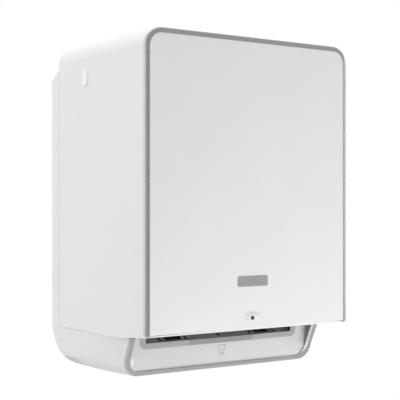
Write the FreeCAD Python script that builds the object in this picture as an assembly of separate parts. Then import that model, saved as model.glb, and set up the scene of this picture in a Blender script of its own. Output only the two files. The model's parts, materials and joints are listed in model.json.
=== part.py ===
import FreeCAD, Part
import math
import os

# Wall cabinet that feeds towel from a hard-wound roll through a slot under its front cover.
# X runs to the right as seen from the room, Y towards the wall and Z up. Lengths are millimetres.
# Heights are measured from the lowest point of the cabinet and depths from its front face.

# Walls and clearances
cover_wall = 2.5
housing_wall = 3.0
panel_wall = 2.5
sheet = 1.0
body_gap = 0.3
pin_gap = 0.05
trim_gap = 0.1
overrun = 12.0
weld_length = 0.001
round_end_share = 0.99

# Towel roll that the cabinet takes, and the room that the cabinet leaves round it
roll_width = 203.0
roll_diameter = 203.0
roll_core_bore = 40.0
roll_top_gap = 5.4
roll_side_room = 56.5
roll_depth_room = 31.0
under_roll_room = 208.1

# Overall size
body_width = roll_width + 2 * roll_side_room
body_depth = roll_diameter + roll_depth_room
body_height = cover_wall + roll_top_gap + roll_diameter + under_roll_room

# Wall screws, with the origin at the centre of their pattern
screw_spacing_x = 200.0
screw_spacing_z = 200.0
screw_hole_radius = 3.0
origin_height = 240.0

# Cover and its grey edge
cover_corner = 24.0
cover_rear_gap = 19.0
cover_seam = 0.7
bezel_width = 6.6
bezel_depth = 4.8
bezel_round = 3.2
bezel_foot_round = 5.8
face_sink = 0.6
face_curl = 3.8
face_bottom = 56.0
face_flange = 7.0
lean_radius = 357.0
lean_top = 89.0
lean_slope = 0.03
seam_height = 50.0
seam_front_height = 55.0
seam_bend_depth = 56.0
seam_front_depth = 14.0
seam_bend_round = 90.0
rib_thickness = 1.6
rib_depth = 4.0
rib_place_shares = (-1.5, -0.5, 0.5, 1.5)
rib_end_gap = 14.0

# Cover hinge
hinge_depth = 30.0
hinge_height = 62.0
hinge_pin_radius = 3.0
hinge_boss_radius = 6.5
hinge_ear_radius = 8.5
ear_reach_share = 0.8
hinge_pin_stand = 3.0

# Latch buttons high on the cover's sides
latch_depth = 142.0
latch_drop = 47.0
latch_width = 13.0
latch_height = 22.0
latch_proud = 1.3
latch_edge_bevel = 0.9
latch_flange = 1.5
latch_flange_thickness = 1.2
latch_guide_wall = 1.5
latch_travel = 2.5
latch_nib_radius = 1.6
latch_spring_wire = 0.6

# Sensor window in the faceplate and the light tube behind it
lens_height = 70.0
lens_radius = 2.6
lens_lip = 1.2
lens_recess = 0.3
lens_lip_thickness = 1.2
tube_radius = 4.0
tube_wall = 1.0
tube_front_gap = 5.5
sensor_board_width = 30.0
sensor_board_height = 18.0
board_thickness = 1.6

# Back housing: rear strip, tray and cheeks
strip_drop = 31.0
strip_slope = 12.0
strip_round = 1.0
rear_round = 55.0
tray_round = 22.5
cheek_inset = 10.5
tray_draft = 5.0
cheek_taper_start = 80.0
cheek_taper_shares = (0.0, 0.25, 0.5, 0.75, 1.0)
tray_front_top = 47.4
tray_front_bend_depth = 60.2
tray_front_bend_height = 22.0
tray_front_bottom = 65.4
tray_front_bend_round = 40.0
tray_front_round = 4.8
ledge_thickness = 2.7

# Chin: grey rim, pale panel, slot band
rim_depth = 4.2
rim_height = 5.5
flange_sink = 0.2
panel_depth = 66.6
panel_border = 10.5
panel_corner = 14.0
panel_top = 62.0
facet_top_width = 15.0
facet_top_depth = 9.0
facet_bottom_width = 3.0
facet_bottom_depth = 1.6
band_bottom = 32.6
band_border = 13.0
band_round = 8.0
band_proud = 0.2
slot_bottom = 39.4
slot_top = 57.6
slot_border = 8.4
slot_round = 2.0
insert_tyre_gap = 20.0
insert_thickness = 1.0
sensor_tab_half = 18.0
sensor_tab_top = 84.0

# Guide ramp behind the slot
ramp_angle = math.radians(26.0)
ramp_length = 28.0
ramp_thickness = 2.0
ramp_window_start = 3.0
ramp_window_end = 26.0
ramp_slit_width = 2.75
ramp_slit_start = 2.5
ramp_slit_end = 24.0
ramp_slit_gap = 19.5
ramp_side_drop = 6.0

# Feed mechanism
module_plate = 3.0
module_border = 2.4
tyre_place_share = 0.614
tyre_width = 23.4
tyre_bevel = 1.6
feed_tyre_radius = 12.0
feed_core_radius = 8.5
feed_shaft_radius = 4.0
feed_proud = 0.8
nip_distance = 15.0
nip_gap = 0.3
pinch_tyre_radius = 7.0
pinch_shaft_radius = 2.5
carrier_pivot_depth = 112.0
carrier_pivot_height = 60.0
carrier_arm_half = 3.8
carrier_arm_thickness = 3.5
carrier_arm_gap = 1.5
spine_depth = 88.0
spine_height = 62.0
spine_size = 6.0
spring_bar_height = 86.0
spring_bar_thickness = 4.0
pinch_spring_inset = 26.0
pinch_spring_radius = 3.5
pinch_spring_wire = 0.7

# Gears
gear_module = 1.0
feed_teeth = 32
idler_teeth = 32
pinion_teeth = 12
gear_width = 6.0
gear_backlash = 0.12
gear_pressure_angle = math.radians(20.0)
idler_direction = math.radians(60.0)
pinion_direction = math.radians(45.0)
addendum_share = 1.0
dedendum_share = 1.25
flank_shares = (0.0, 0.45, 1.0)
gear_web = 3.0
gear_rim = 3.5
gear_hub_wall = 3.0

# Tear bar
tooth_pitch = 6.0
tooth_height = 4.0
tear_bar_top = 71.0


def behind_face(depth):
    """Y of a place that lies this far behind the front face."""
    return depth - body_depth


def vec(x, y, z):
    return FreeCAD.Vector(x, y, z)


# Plain solids

def box(x0, x1, y0, y1, z0, z1):
    return Part.makeBox(x1 - x0, y1 - y0, z1 - z0, vec(x0, y0, z0))


def rod_x(x0, x1, y, z, radius):
    return Part.makeCylinder(radius, x1 - x0, vec(x0, y, z), vec(1, 0, 0))


def rod_y(y0, y1, x, z, radius):
    return Part.makeCylinder(radius, y1 - y0, vec(x, y0, z), vec(0, 1, 0))


def rod_z(z0, z1, x, y, radius):
    return Part.makeCylinder(radius, z1 - z0, vec(x, y, z0), vec(0, 0, 1))


def mirrored(shape):
    return shape.mirror(vec(0, 0, 0), vec(1, 0, 0))


def group(shapes):
    return Part.makeCompound(shapes)


def joined(shapes):
    """One solid out of several that touch or overlap."""
    return shapes[0].multiFuse(shapes[1:]).removeSplitter()


def rounded_wire(corners, place):
    """Closed outline through corners (u, v, radius), each rounded by its radius."""
    points = [FreeCAD.Vector(u, v, 0) for u, v, _ in corners]
    edges = []
    ends = []
    for i, (u, v, radius) in enumerate(corners):
        here = points[i]
        back = (points[i - 1] - here).normalize()
        ahead = (points[(i + 1) % len(points)] - here).normalize()
        if radius <= 0:
            ends.append((here, None, here))
            continue
        half = back.getAngle(ahead) / 2
        reach = radius / math.tan(half)
        centre = here + (back + ahead).normalize() * (radius / math.sin(half))
        middle = centre + (here - centre).normalize() * radius
        ends.append((here + back * reach, middle, here + ahead * reach))
    lift = [[None if p is None else place(p.x, p.y) for p in trio] for trio in ends]
    for i, (start, middle, end) in enumerate(lift):
        if middle is not None:
            edges.append(Part.Arc(start, middle, end).toShape())
        following = lift[(i + 1) % len(lift)][0]
        if end.distanceToPoint(following) > weld_length:
            edges.append(Part.LineSegment(end, following).toShape())
    return Part.Wire(edges)


def slab_x(corners, x0, x1):
    """Outline in (y, z), from x0 to x1."""
    face = Part.Face(rounded_wire(corners, lambda u, v: vec(x0, u, v)))
    return face.extrude(vec(x1 - x0, 0, 0))


def slab_y(corners, y0, y1):
    """Outline in (x, z), from y0 to y1."""
    face = Part.Face(rounded_wire(corners, lambda u, v: vec(u, y0, v)))
    return face.extrude(vec(0, y1 - y0, 0))


def rectangle(u0, u1, v0, v1, radius=0.0):
    return [(u0, v0, radius), (u1, v0, radius), (u1, v1, radius), (u0, v1, radius)]


def obround(u, v, width, height):
    """Upright slot shape about (u, v)."""
    end_round = width / 2 * round_end_share
    return rectangle(u - width / 2, u + width / 2, v - height / 2, v + height / 2, end_round)


def bar_between(a, b, half):
    """Outline of a straight arm with rounded ends between two places in one plane."""
    along = FreeCAD.Vector(b[0] - a[0], b[1] - a[1], 0).normalize() * half
    side = FreeCAD.Vector(-along.y, along.x, 0)
    start = FreeCAD.Vector(a[0], a[1], 0) - along
    end = FreeCAD.Vector(b[0], b[1], 0) + along
    corners = [start - side, end - side, end + side, start + side]
    return [(p.x, p.y, half * round_end_share) for p in corners]


def arch(half, bottom, top, radius):
    """Outline with rounded upper corners and an open lower end."""
    return [(-half, bottom, 0), (-half, top, radius), (half, top, radius), (half, bottom, 0)]


def tub(half, bottom, top, radius):
    """Outline with rounded lower corners."""
    return [(-half, top, 0), (-half, bottom, radius), (half, bottom, radius), (half, top, 0)]


def tray_outline(half, bottom, radius):
    """Outline of the tray: upright above the seam, drawn in towards its rounded lower corners."""
    foot = half - tray_draft * (seam_height - bottom) / seam_height
    return [(-half, body_height, 0), (-half, seam_height, 0), (-foot, bottom, radius),
            (foot, bottom, radius), (half, seam_height, 0), (half, body_height, 0)]


# Planes that several pieces share
half_width = body_width / 2
front_y = behind_face(0)
shell_front_y = behind_face(bezel_depth)
cover_rear_y = -cover_rear_gap
hinge_y = behind_face(hinge_depth)
cheek_half = half_width - cheek_inset
panel_half = cheek_half - panel_border
band_half = panel_half - band_border
slot_half = band_half - slot_border
module_half = slot_half + module_border
tyre_place = slot_half * tyre_place_share
insert_half = tyre_place - insert_tyre_gap
ear_inner_x = cheek_half - housing_wall
roll_centre_height = body_height - cover_wall - roll_diameter / 2 - roll_top_gap
roll_centre_y = -(body_depth - bezel_depth - cover_wall) / 2
latch_y = behind_face(latch_depth)
latch_z = body_height - latch_drop


# Cover shell: white sides, top and inner front wall in one moulding

def cover_outline(inset, bottom):
    return arch(half_width - inset, bottom, body_height - inset, cover_corner - inset)


def cover_shell():
    low = seam_height - overrun
    shell = slab_y(cover_outline(0, low), shell_front_y, cover_rear_y - cover_seam)
    inside = slab_y(cover_outline(cover_wall, low - overrun), shell_front_y + cover_wall,
                    cover_rear_y + overrun)
    shell = shell.cut(inside)
    below_seam = [
        (cover_rear_y + overrun, low - overrun, 0),
        (cover_rear_y + overrun, seam_height, 0),
        (behind_face(seam_bend_depth), seam_height, seam_bend_round),
        (behind_face(seam_front_depth), seam_front_height, 0),
        (shell_front_y - overrun, seam_front_height, 0),
        (shell_front_y - overrun, low - overrun, 0),
    ]
    shell = shell.cut(slab_x(below_seam, -half_width - overrun, half_width + overrun))
    inner_x = half_width - cover_wall
    wall_back = shell_front_y + cover_wall
    rib_spacing = body_width / (len(rib_place_shares) + 1)
    ribs = []
    for share in rib_place_shares:
        x = share * rib_spacing
        ribs.append(box(x - rib_thickness / 2, x + rib_thickness / 2, wall_back - trim_gap,
                        wall_back + rib_depth, face_bottom + rib_end_gap,
                        body_height - cover_wall - rib_end_gap))
    boss = rod_x(cheek_half + body_gap, inner_x + trim_gap, hinge_y, hinge_height, hinge_boss_radius)
    guide_height = latch_height + 2 * (latch_flange + body_gap + latch_guide_wall)
    guide_width = latch_width + 2 * (latch_flange + body_gap + latch_guide_wall)
    guide_end = latch_retainer_x()
    guide = slab_x(obround(latch_y, latch_z, guide_width, guide_height), guide_end, inner_x + trim_gap)
    shell = joined([shell] + ribs + [boss, mirrored(boss), guide, mirrored(guide)])
    bore = slab_x(obround(latch_y, latch_z, latch_width + 2 * (latch_flange + body_gap),
                          latch_height + 2 * (latch_flange + body_gap)),
                  guide_end - overrun, inner_x)
    window = slab_x(obround(latch_y, latch_z, latch_width + 2 * body_gap, latch_height + 2 * body_gap),
                    inner_x - overrun, half_width + overrun)
    pin_bore = rod_x(cheek_half, inner_x + cover_wall / 2, hinge_y, hinge_height, hinge_pin_radius)
    sight_radius = lens_radius + lens_lip + body_gap
    sight = rod_y(shell_front_y - overrun, wall_back + overrun, 0, lens_height, sight_radius)
    for cutter in (bore, window, pin_bore):
        shell = shell.cut(cutter).cut(mirrored(cutter))
    return shell.cut(sight)


def latch_retainer_x():
    """Inner face of the disc that closes a latch button's guide."""
    flange_x = half_width - cover_wall - body_gap - latch_flange_thickness
    return flange_x - latch_travel - body_gap - sheet


# Bezel: grey trim that frames the faceplate on the left, top and right

def bezel():
    low = seam_front_height
    outside = [(u, v, r or bezel_foot_round) for u, v, r in cover_outline(0, low)]
    ring = slab_y(outside, front_y, shell_front_y)
    inner = slab_y(cover_outline(bezel_width, low - overrun), front_y - overrun, shell_front_y + overrun)
    ring = ring.cut(inner)
    core = slab_y(cover_outline(bezel_width / 2, low - overrun), front_y - overrun, shell_front_y + overrun)
    outer_edges = []
    for edge in ring.Edges:
        bounds = edge.BoundBox
        middle = edge.valueAt((edge.FirstParameter + edge.LastParameter) / 2)
        on_front = bounds.YMax < front_y + trim_gap and bounds.ZMax > low + trim_gap
        if on_front and not core.isInside(middle, weld_length, False):
            outer_edges.append(edge)
    return ring.makeFillet(bezel_round, outer_edges)


# Faceplate: white skin inside the bezel. Under a shallow arch its surface leans back, and its
# lower edge is curled under.

def faceplate():
    inset = bezel_width + trim_gap
    plate_front = front_y + face_sink
    plate = slab_y(cover_outline(inset, face_bottom), plate_front, shell_front_y)
    lower = [edge for edge in plate.Edges
             if abs(edge.BoundBox.ZMax - face_bottom) < trim_gap and
             abs(edge.BoundBox.YMax - plate_front) < trim_gap]
    plate = plate.makeFillet(face_curl, lower)
    lean_centre = vec(0, plate_front, lean_top - lean_radius)
    plate = plate.cut(Part.makeCone(lean_radius, 0, lean_radius * lean_slope, lean_centre, vec(0, 1, 0)))
    hollow = slab_y(cover_outline(inset + face_flange, face_bottom + face_flange),
                    plate_front + panel_wall, shell_front_y + overrun)
    hole = rod_y(front_y - overrun, shell_front_y + overrun, 0, lens_height, lens_radius + pin_gap)
    return plate.cut(hollow).cut(hole)


# Sensor lens: dark round window pushed into the faceplate from behind

def sensor_lens():
    skin_back = front_y + face_sink + panel_wall
    stem = rod_y(front_y + face_sink + lens_recess, skin_back, 0, lens_height, lens_radius)
    lip = rod_y(skin_back, skin_back + lens_lip_thickness, 0, lens_height, lens_radius + lens_lip)
    return joined([stem, lip])


# Hinge pins: pressed into the cover's bosses, turning in the housing's ears

def hinge_pin():
    outer = half_width - cover_wall / 2
    inner = ear_inner_x - hinge_pin_stand
    pin = rod_x(inner, outer, hinge_y, hinge_height, hinge_pin_radius)
    rim = [edge for edge in pin.Edges if abs(edge.BoundBox.XMax - inner) < trim_gap]
    return pin.makeChamfer(sheet, rim)


# Latch buttons, their springs and the discs that hold them in the cover

def latch_button():
    outer = half_width + latch_proud
    inner_x = half_width - cover_wall
    flange_x = inner_x - body_gap - latch_flange_thickness
    head = slab_x(obround(latch_y, latch_z, latch_width, latch_height), flange_x, outer)
    rim = [edge for edge in head.Edges if edge.BoundBox.XMin > outer - trim_gap]
    head = head.makeChamfer(latch_edge_bevel, rim)
    flange = slab_x(obround(latch_y, latch_z, latch_width + 2 * latch_flange,
                            latch_height + 2 * latch_flange), flange_x, inner_x - body_gap)
    nib = rod_x(latch_retainer_x() + trim_gap, flange_x + trim_gap, latch_y, latch_z, latch_nib_radius)
    return joined([head, flange, nib])


def latch_retainers():
    inner = latch_retainer_x()
    disc = slab_x(obround(latch_y, latch_z, latch_width + 2 * (latch_flange + body_gap),
                          latch_height + 2 * (latch_flange + body_gap)), inner, inner + sheet)
    disc = disc.cut(rod_x(inner - overrun, inner + overrun, latch_y, latch_z, latch_nib_radius + body_gap))
    return group([disc, mirrored(disc)])


def latch_springs():
    radius = latch_nib_radius + body_gap + latch_spring_wire
    start = latch_retainer_x() + sheet
    end = half_width - cover_wall - body_gap - latch_flange_thickness
    ring = rod_x(start, end, latch_y, latch_z, radius + latch_spring_wire)
    ring = ring.cut(rod_x(start - overrun, end + overrun, latch_y, latch_z, radius))
    return group([ring, mirrored(ring)])


# Back housing: rear strip, back wall, tray, cheeks and the inner walls that carry the cover's hinge

def tray_form(inset):
    """Tray and strip outside, or its inside with an inset, tapering in towards the chin."""
    taper_length = body_depth - tray_front_top - cheek_taper_start
    sections = []
    places = [overrun] + [-cheek_taper_start - share * taper_length for share in cheek_taper_shares]
    places.append(front_y)
    narrowings = [0.0] + [cheek_inset * share * share for share in cheek_taper_shares] + [cheek_inset]
    for y, narrowing in zip(places, narrowings):
        corners = tray_outline(half_width - narrowing - inset, inset, tray_round - inset)
        sections.append(rounded_wire(corners, lambda u, v, y=y: vec(u, y, v)))
    return Part.makeLoft(sections, True, True)


def chin_line():
    """Front edge of the tray and rim in (y, z), from the seam down."""
    return [
        (behind_face(tray_front_top), seam_height, 0),
        (behind_face(tray_front_bend_depth), tray_front_bend_height, tray_front_bend_round),
        (behind_face(tray_front_bottom), 0, tray_front_round),
    ]


def shifted(corners, distance):
    return [(u + distance, v, r) for u, v, r in corners]


def back_housing():
    strip_top = body_height - strip_drop
    profile = [
        (0, 0, rear_round),
        (0, strip_top - strip_slope, 0),
        (cover_rear_y, strip_top, strip_round),
        (cover_rear_y, seam_height - body_gap, 0),
    ]
    line = chin_line()
    front = shifted(line, rim_depth + trim_gap)
    top_y, _, _ = front[0]
    profile.append((top_y, seam_height - body_gap, 0))
    profile.append(front[1])
    last_y, _, _ = front[2]
    profile.append((last_y, 0, 0))
    reach = half_width + overrun
    side = slab_x(profile, -reach, reach)
    outside = tray_form(0).common(side)

    wall = housing_wall
    strip_rise = strip_slope / cover_rear_gap
    hollow_profile = [
        (-wall, wall, rear_round - wall),
        (-wall, strip_top - strip_slope - wall, 0),
        (cover_rear_y - overrun, strip_top - wall + strip_rise * (overrun - wall), 0),
        (front_y, strip_top, 0),
        (front_y, wall, 0),
    ]
    hollow = tray_form(wall).common(slab_x(hollow_profile, -reach, reach))
    shell = outside.cut(hollow)

    ledge_top = seam_height - body_gap
    ledge_box = box(-reach, reach, behind_face(tray_front_top), -wall, ledge_top - ledge_thickness, ledge_top)
    middle = box(-ear_inner_x, ear_inner_x, front_y, 0, 0, body_height)
    ledge = outside.common(ledge_box).cut(middle)

    inner_wall = slab_x(inner_wall_profile(), ear_inner_x, cheek_half)
    ear = rod_x(ear_inner_x, cheek_half, hinge_y, hinge_height, hinge_ear_radius)
    wall_and_ear = joined([inner_wall, ear])

    flange_top = body_height - cover_wall - body_gap
    flange = slab_y(arch(half_width - cover_wall - body_gap, strip_top - 2 * wall, flange_top,
                         cover_corner - cover_wall - body_gap),
                    cover_rear_y - cover_wall - wall, cover_rear_y - cover_wall)
    housing = joined([shell, ledge, wall_and_ear, mirrored(wall_and_ear), flange] + module_bosses())
    bore = rod_x(ear_inner_x - overrun, cheek_half + overrun, hinge_y, hinge_height,
                 hinge_pin_radius + pin_gap)
    catch = slab_x(obround(latch_y, latch_z, latch_width, latch_height),
                   ear_inner_x - overrun, cheek_half + overrun)
    for cutter in (bore, catch):
        housing = housing.cut(cutter).cut(mirrored(cutter))
    for x in (-screw_spacing_x / 2, screw_spacing_x / 2):
        for z in (-screw_spacing_z / 2, screw_spacing_z / 2):
            housing = housing.cut(rod_y(-wall - overrun, overrun, x, origin_height + z, screw_hole_radius))
    return housing


# Inner walls rise from the tray inside the cover: hinge ear low in front, catch high up
wall_root_depth = 60.0
wall_front_depth = 78.0
wall_front_height = 118.0
wall_waist_depth = 150.0
wall_waist_share = 0.57
wall_head_depth = 128.0
wall_head_drop = 69.0
wall_round = 14.0


def inner_wall_profile():
    rear = -housing_wall / 2
    top = body_height - strip_drop - housing_wall
    ear_reach = hinge_ear_radius * ear_reach_share
    head = body_height - wall_head_drop
    waist = wall_front_height + wall_waist_share * (head - wall_front_height)
    return [
        (rear, seam_height - ledge_thickness, 0),
        (rear, top - strip_slope, 0),
        (cover_rear_y, top, 0),
        (behind_face(wall_head_depth), top, wall_round),
        (behind_face(wall_head_depth), head, wall_round),
        (behind_face(wall_waist_depth), waist, wall_round),
        (behind_face(wall_front_depth), wall_front_height, wall_round),
        (hinge_y, hinge_height + hinge_ear_radius, 0),
        (hinge_y - ear_reach, hinge_height, 0),
        (hinge_y, hinge_height - hinge_ear_radius, 0),
        (behind_face(wall_root_depth), seam_height, 0),
        (behind_face(wall_root_depth), seam_height - ledge_thickness, 0),
    ]


# Bosses on the tray's floor that the feed module is screwed to
module_boss_radius = 5.0
module_boss_height = 12.0
module_screw_radius = 2.0
module_screw_depth = 7.5
module_screw_head_radius = 4.0
module_screw_head_height = 2.4
module_boss_inset = 18.0
module_boss_front_depth = 112.0
module_boss_rear_gap = 8.0
module_boss_x = module_half - module_boss_inset


def module_boss_places():
    depths = (module_boss_front_depth, frame_rear_depth - module_boss_rear_gap)
    return [(x, behind_face(d)) for x in (-module_boss_x, module_boss_x) for d in depths]


def module_bosses():
    bosses = []
    for x, y in module_boss_places():
        boss = rod_z(housing_wall / 2, module_boss_height, x, y, module_boss_radius)
        hole = rod_z(module_boss_height - module_screw_depth, module_boss_height + overrun, x, y,
                     module_screw_radius)
        bosses.append(boss.cut(hole))
    return bosses


def module_screws():
    screws = []
    head_seat = module_boss_height + module_plate
    for x, y in module_boss_places():
        shank_low = module_boss_height - module_screw_depth + body_gap
        shank = rod_z(shank_low, head_seat, x, y, module_screw_radius)
        head = rod_z(head_seat, head_seat + module_screw_head_height, x, y, module_screw_head_radius)
        screws.append(joined([shank, head]))
    return group(screws)


# Chin rim: grey trim that caps the tray's front edge

def chin_rim():
    line = chin_line()
    back = shifted(line, rim_depth)
    top_limit = seam_height - body_gap
    profile = [
        (line[0][0], top_limit, 0),
        line[1],
        line[2],
        (back[2][0], 0, 0),
        back[1],
        (back[0][0], top_limit, 0),
    ]
    reach = half_width + overrun
    band = tray_form(0).common(slab_x(profile, -reach, reach))
    return band.cut(tray_form(rim_height))


# Chin panel: pale scooped moulding inside the rim, with the opening for the slot band

def chin_panel():
    half = cheek_half - rim_height - trim_gap
    low = rim_height + trim_gap
    back_y = behind_face(panel_depth + panel_wall)
    line = shifted(chin_line(), flange_sink)
    slope = (line[0][0] - line[1][0]) / (line[0][1] - line[1][1])
    profile = [
        (line[0][0] + slope * (panel_top - line[0][1]), panel_top, 0),
        (line[0][0], line[0][1], 0),
        line[1],
        (line[2][0], low, 0),
        (back_y, low, 0),
        (back_y, panel_top, 0),
    ]
    reach = ear_inner_x - trim_gap
    block = tray_form(low).common(slab_x(profile, -reach, reach))
    scoop = slab_y(tub(panel_half, low - trim_gap, panel_top + overrun, panel_corner),
                   front_y - overrun, behind_face(panel_depth))
    block = block.cut(scoop)
    facet = chin_facet(low)
    pocket_low = low + tray_round
    pocket_front = line[0][0] + panel_wall
    pocket_profile = [
        (pocket_front + slope * (pocket_low - line[0][1]), pocket_low, 0),
        (back_y + overrun, pocket_low, 0),
        (back_y + overrun, panel_top + overrun, 0),
        (pocket_front + slope * (panel_top + overrun - line[0][1]), panel_top + overrun, 0),
    ]
    pocket = slab_x(pocket_profile, panel_half + panel_wall / 2, half - panel_wall / 2)
    panel = block.cut(pocket).cut(mirrored(pocket))
    panel = joined([panel, facet, mirrored(facet)])
    opening = slab_y(tub(band_half + trim_gap, band_bottom - trim_gap, panel_top + overrun,
                         band_round), front_y, back_y + overrun)
    return panel.cut(opening)


def chin_facet(low):
    """Slanted blend between the panel and a cheek's inner wall, wide at the top."""
    back = behind_face(panel_depth + panel_wall / 2)
    face = behind_face(panel_depth)
    x = panel_half + panel_wall / 4
    loops = []
    for z, width, depth in ((low + panel_corner / 2, facet_bottom_width, facet_bottom_depth),
                            (panel_top, facet_top_width, facet_top_depth)):
        corners = [vec(x, face - depth, z), vec(panel_half - width, face, z),
                   vec(panel_half - width, back, z), vec(x, back, z)]
        loops.append(Part.makePolygon(corners + corners[:1]))
    return Part.makeLoft(loops, True, True)


# Slot frame: grey band round the slot, with a tab above that carries the sensor board

def slot_frame():
    face = behind_face(panel_depth - band_proud)
    back = behind_face(panel_depth + panel_wall - body_gap)
    plate = slab_y(tub(band_half, band_bottom, panel_top, band_round), face, back)
    tab = box(-sensor_tab_half, sensor_tab_half, face, back, panel_top - trim_gap, sensor_tab_top)
    slot = slab_y(rectangle(-slot_half, slot_half, slot_bottom, slot_top, slot_round),
                  face - overrun, back + overrun)
    notch = box(-insert_half, insert_half, face - overrun, face + insert_thickness,
                band_bottom - overrun, slot_bottom)
    return joined([plate, tab]).cut(slot).cut(notch)


# Slot insert: darker wear strip let into the middle of the band

def slot_insert():
    face = behind_face(panel_depth - band_proud)
    return box(-insert_half, insert_half, face, face + insert_thickness, band_bottom, slot_bottom)


# Guide ramp: dark slotted chute that lifts the towel's path from the rollers to the slot

ramp_lip_y = behind_face(panel_depth + panel_wall)


def ramp_place(distance, lift=0.0):
    """Place on the ramp's upper face, measured up the slope from its lip."""
    y = ramp_lip_y + distance * math.cos(ramp_angle) - lift * math.sin(ramp_angle)
    z = slot_bottom + distance * math.sin(ramp_angle) + lift * math.cos(ramp_angle)
    return y, z


def ramp_cutter(x, width, start, end):
    corners = [ramp_place(start, overrun), ramp_place(end, overrun), ramp_place(end, -overrun / 2),
               ramp_place(start, -overrun / 2)]
    return slab_x([(y, z, 0) for y, z in corners], x - width / 2, x + width / 2)


def guide_ramp():
    half = module_half - trim_gap
    tip = ramp_place(ramp_length)
    under_tip = ramp_place(ramp_length, -ramp_thickness)
    profile = [
        (ramp_lip_y, slot_bottom, 0),
        (tip[0], tip[1], 0),
        (under_tip[0], under_tip[1], 0),
        (ramp_lip_y + ramp_thickness, slot_bottom - ramp_thickness, 0),
        (ramp_lip_y + ramp_thickness, slot_bottom - ramp_side_drop, 0),
        (ramp_lip_y, slot_bottom - ramp_side_drop, 0),
    ]
    ramp = slab_x(profile, -half, half)
    for x in (-tyre_place, tyre_place):
        ramp = ramp.cut(ramp_cutter(x, tyre_width + 4 * body_gap, ramp_window_start, ramp_window_end))
    slits = [0.0]
    for side in (-1, 1):
        slits += [side * (tyre_place - ramp_slit_gap), side * (tyre_place + ramp_slit_gap)]
    for x in slits:
        ramp = ramp.cut(ramp_cutter(x, ramp_slit_width, ramp_slit_start, ramp_slit_end))
    return ramp


# Places of the rollers, worked out from the ramp so that the nip lies on it
nip_y, nip_z = ramp_place(nip_distance)
feed_y, feed_z = ramp_place(nip_distance, feed_proud - feed_tyre_radius)
pinch_y, pinch_z = ramp_place(nip_distance, feed_proud + nip_gap + pinch_tyre_radius)


# Feed roller: steel shaft, plastic cores and rubber tyres

def feed_shaft():
    bearing_end = module_half + module_plate + body_gap
    return rod_x(-bearing_end, gear_x() + gear_width + sheet, feed_y, feed_z, feed_shaft_radius)


def roller_pair(outer, inner, width, y, z, bevel=0.0):
    rings = []
    for x in (-tyre_place, tyre_place):
        ring = rod_x(x - width / 2, x + width / 2, y, z, outer)
        if bevel:
            rims = [edge for edge in ring.Edges if edge.BoundBox.XLength < trim_gap]
            ring = ring.makeChamfer(bevel, rims)
        rings.append(ring.cut(rod_x(x - width, x + width, y, z, inner)))
    return rings


def feed_cores():
    return group(roller_pair(feed_core_radius, feed_shaft_radius, tyre_width + 4 * sheet, feed_y, feed_z))


def feed_tyres():
    return group(roller_pair(feed_tyre_radius, feed_core_radius, tyre_width, feed_y, feed_z, tyre_bevel))


bush_radius = 6.0
bush_flange_radius = 7.5
bush_flange = 1.5


def shaft_bushes():
    inner = module_half - bush_flange
    outer = module_half + module_plate
    bush = joined([rod_x(inner, outer, feed_y, feed_z, bush_radius),
                   rod_x(inner, module_half, feed_y, feed_z, bush_flange_radius)])
    bush = bush.cut(rod_x(inner - overrun, outer + overrun, feed_y, feed_z, feed_shaft_radius + pin_gap))
    return group([bush, mirrored(bush)])


# Pinch roller in its sprung carrier

def pinch_shaft():
    reach = carrier_outer_x()
    return rod_x(-reach, reach, pinch_y, pinch_z, pinch_shaft_radius)


def pinch_tyres():
    return group(roller_pair(pinch_tyre_radius, pinch_shaft_radius, tyre_width, pinch_y, pinch_z, sheet))


def carrier_outer_x():
    return module_half - carrier_arm_gap


carrier_y = behind_face(carrier_pivot_depth)


def pinch_carrier():
    outer = carrier_outer_x()
    inner = outer - carrier_arm_thickness
    outline = bar_between((pinch_y, pinch_z), (carrier_y, carrier_pivot_height), carrier_arm_half)
    arm = slab_x(outline, inner, outer)
    post = box(inner, outer, behind_face(spine_depth), behind_face(spine_depth) + 2 * spine_size,
               spine_height - spine_size / 2, spine_height + spine_size)
    trunnion = rod_x(outer - trim_gap, module_half + module_plate - body_gap, carrier_y,
                     carrier_pivot_height, pinch_shaft_radius)
    side = joined([arm, post, trunnion])
    side = side.cut(rod_x(inner - overrun, outer + overrun, pinch_y, pinch_z, pinch_shaft_radius + pin_gap))
    spine = box(-outer, outer, behind_face(spine_depth), behind_face(spine_depth) + 2 * spine_size,
                spine_height + spine_size / 2, spine_height + spine_size)
    return joined([side, mirrored(side), spine])


def pinch_springs():
    y = behind_face(spine_depth) + spine_size
    springs = []
    outer = pinch_spring_radius + pinch_spring_wire
    bore = pinch_spring_radius - pinch_spring_wire
    for x in (pinch_spring_inset - tyre_place, tyre_place - pinch_spring_inset):
        sleeve = rod_z(spine_height + spine_size, spring_bar_height, x, y, outer)
        springs.append(sleeve.cut(rod_z(spine_height, spring_bar_height + overrun, x, y, bore)))
    return group(springs)


# Module frame: side plates, floor and bars that carry the whole feed mechanism
frame_front_depth = 70.1
frame_rear_depth = 150.0
frame_front_top = 76.0
frame_rear_top = 112.0
frame_shoulder_depth = 130.0
frame_floor_depth = 100.0
frame_round = 8.0
front_bar_depth = 7.0
front_bar_low = 66.0
front_bar_high = 72.0
rear_bar_depth = 10.0
rear_bar_height = 6.0


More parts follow.
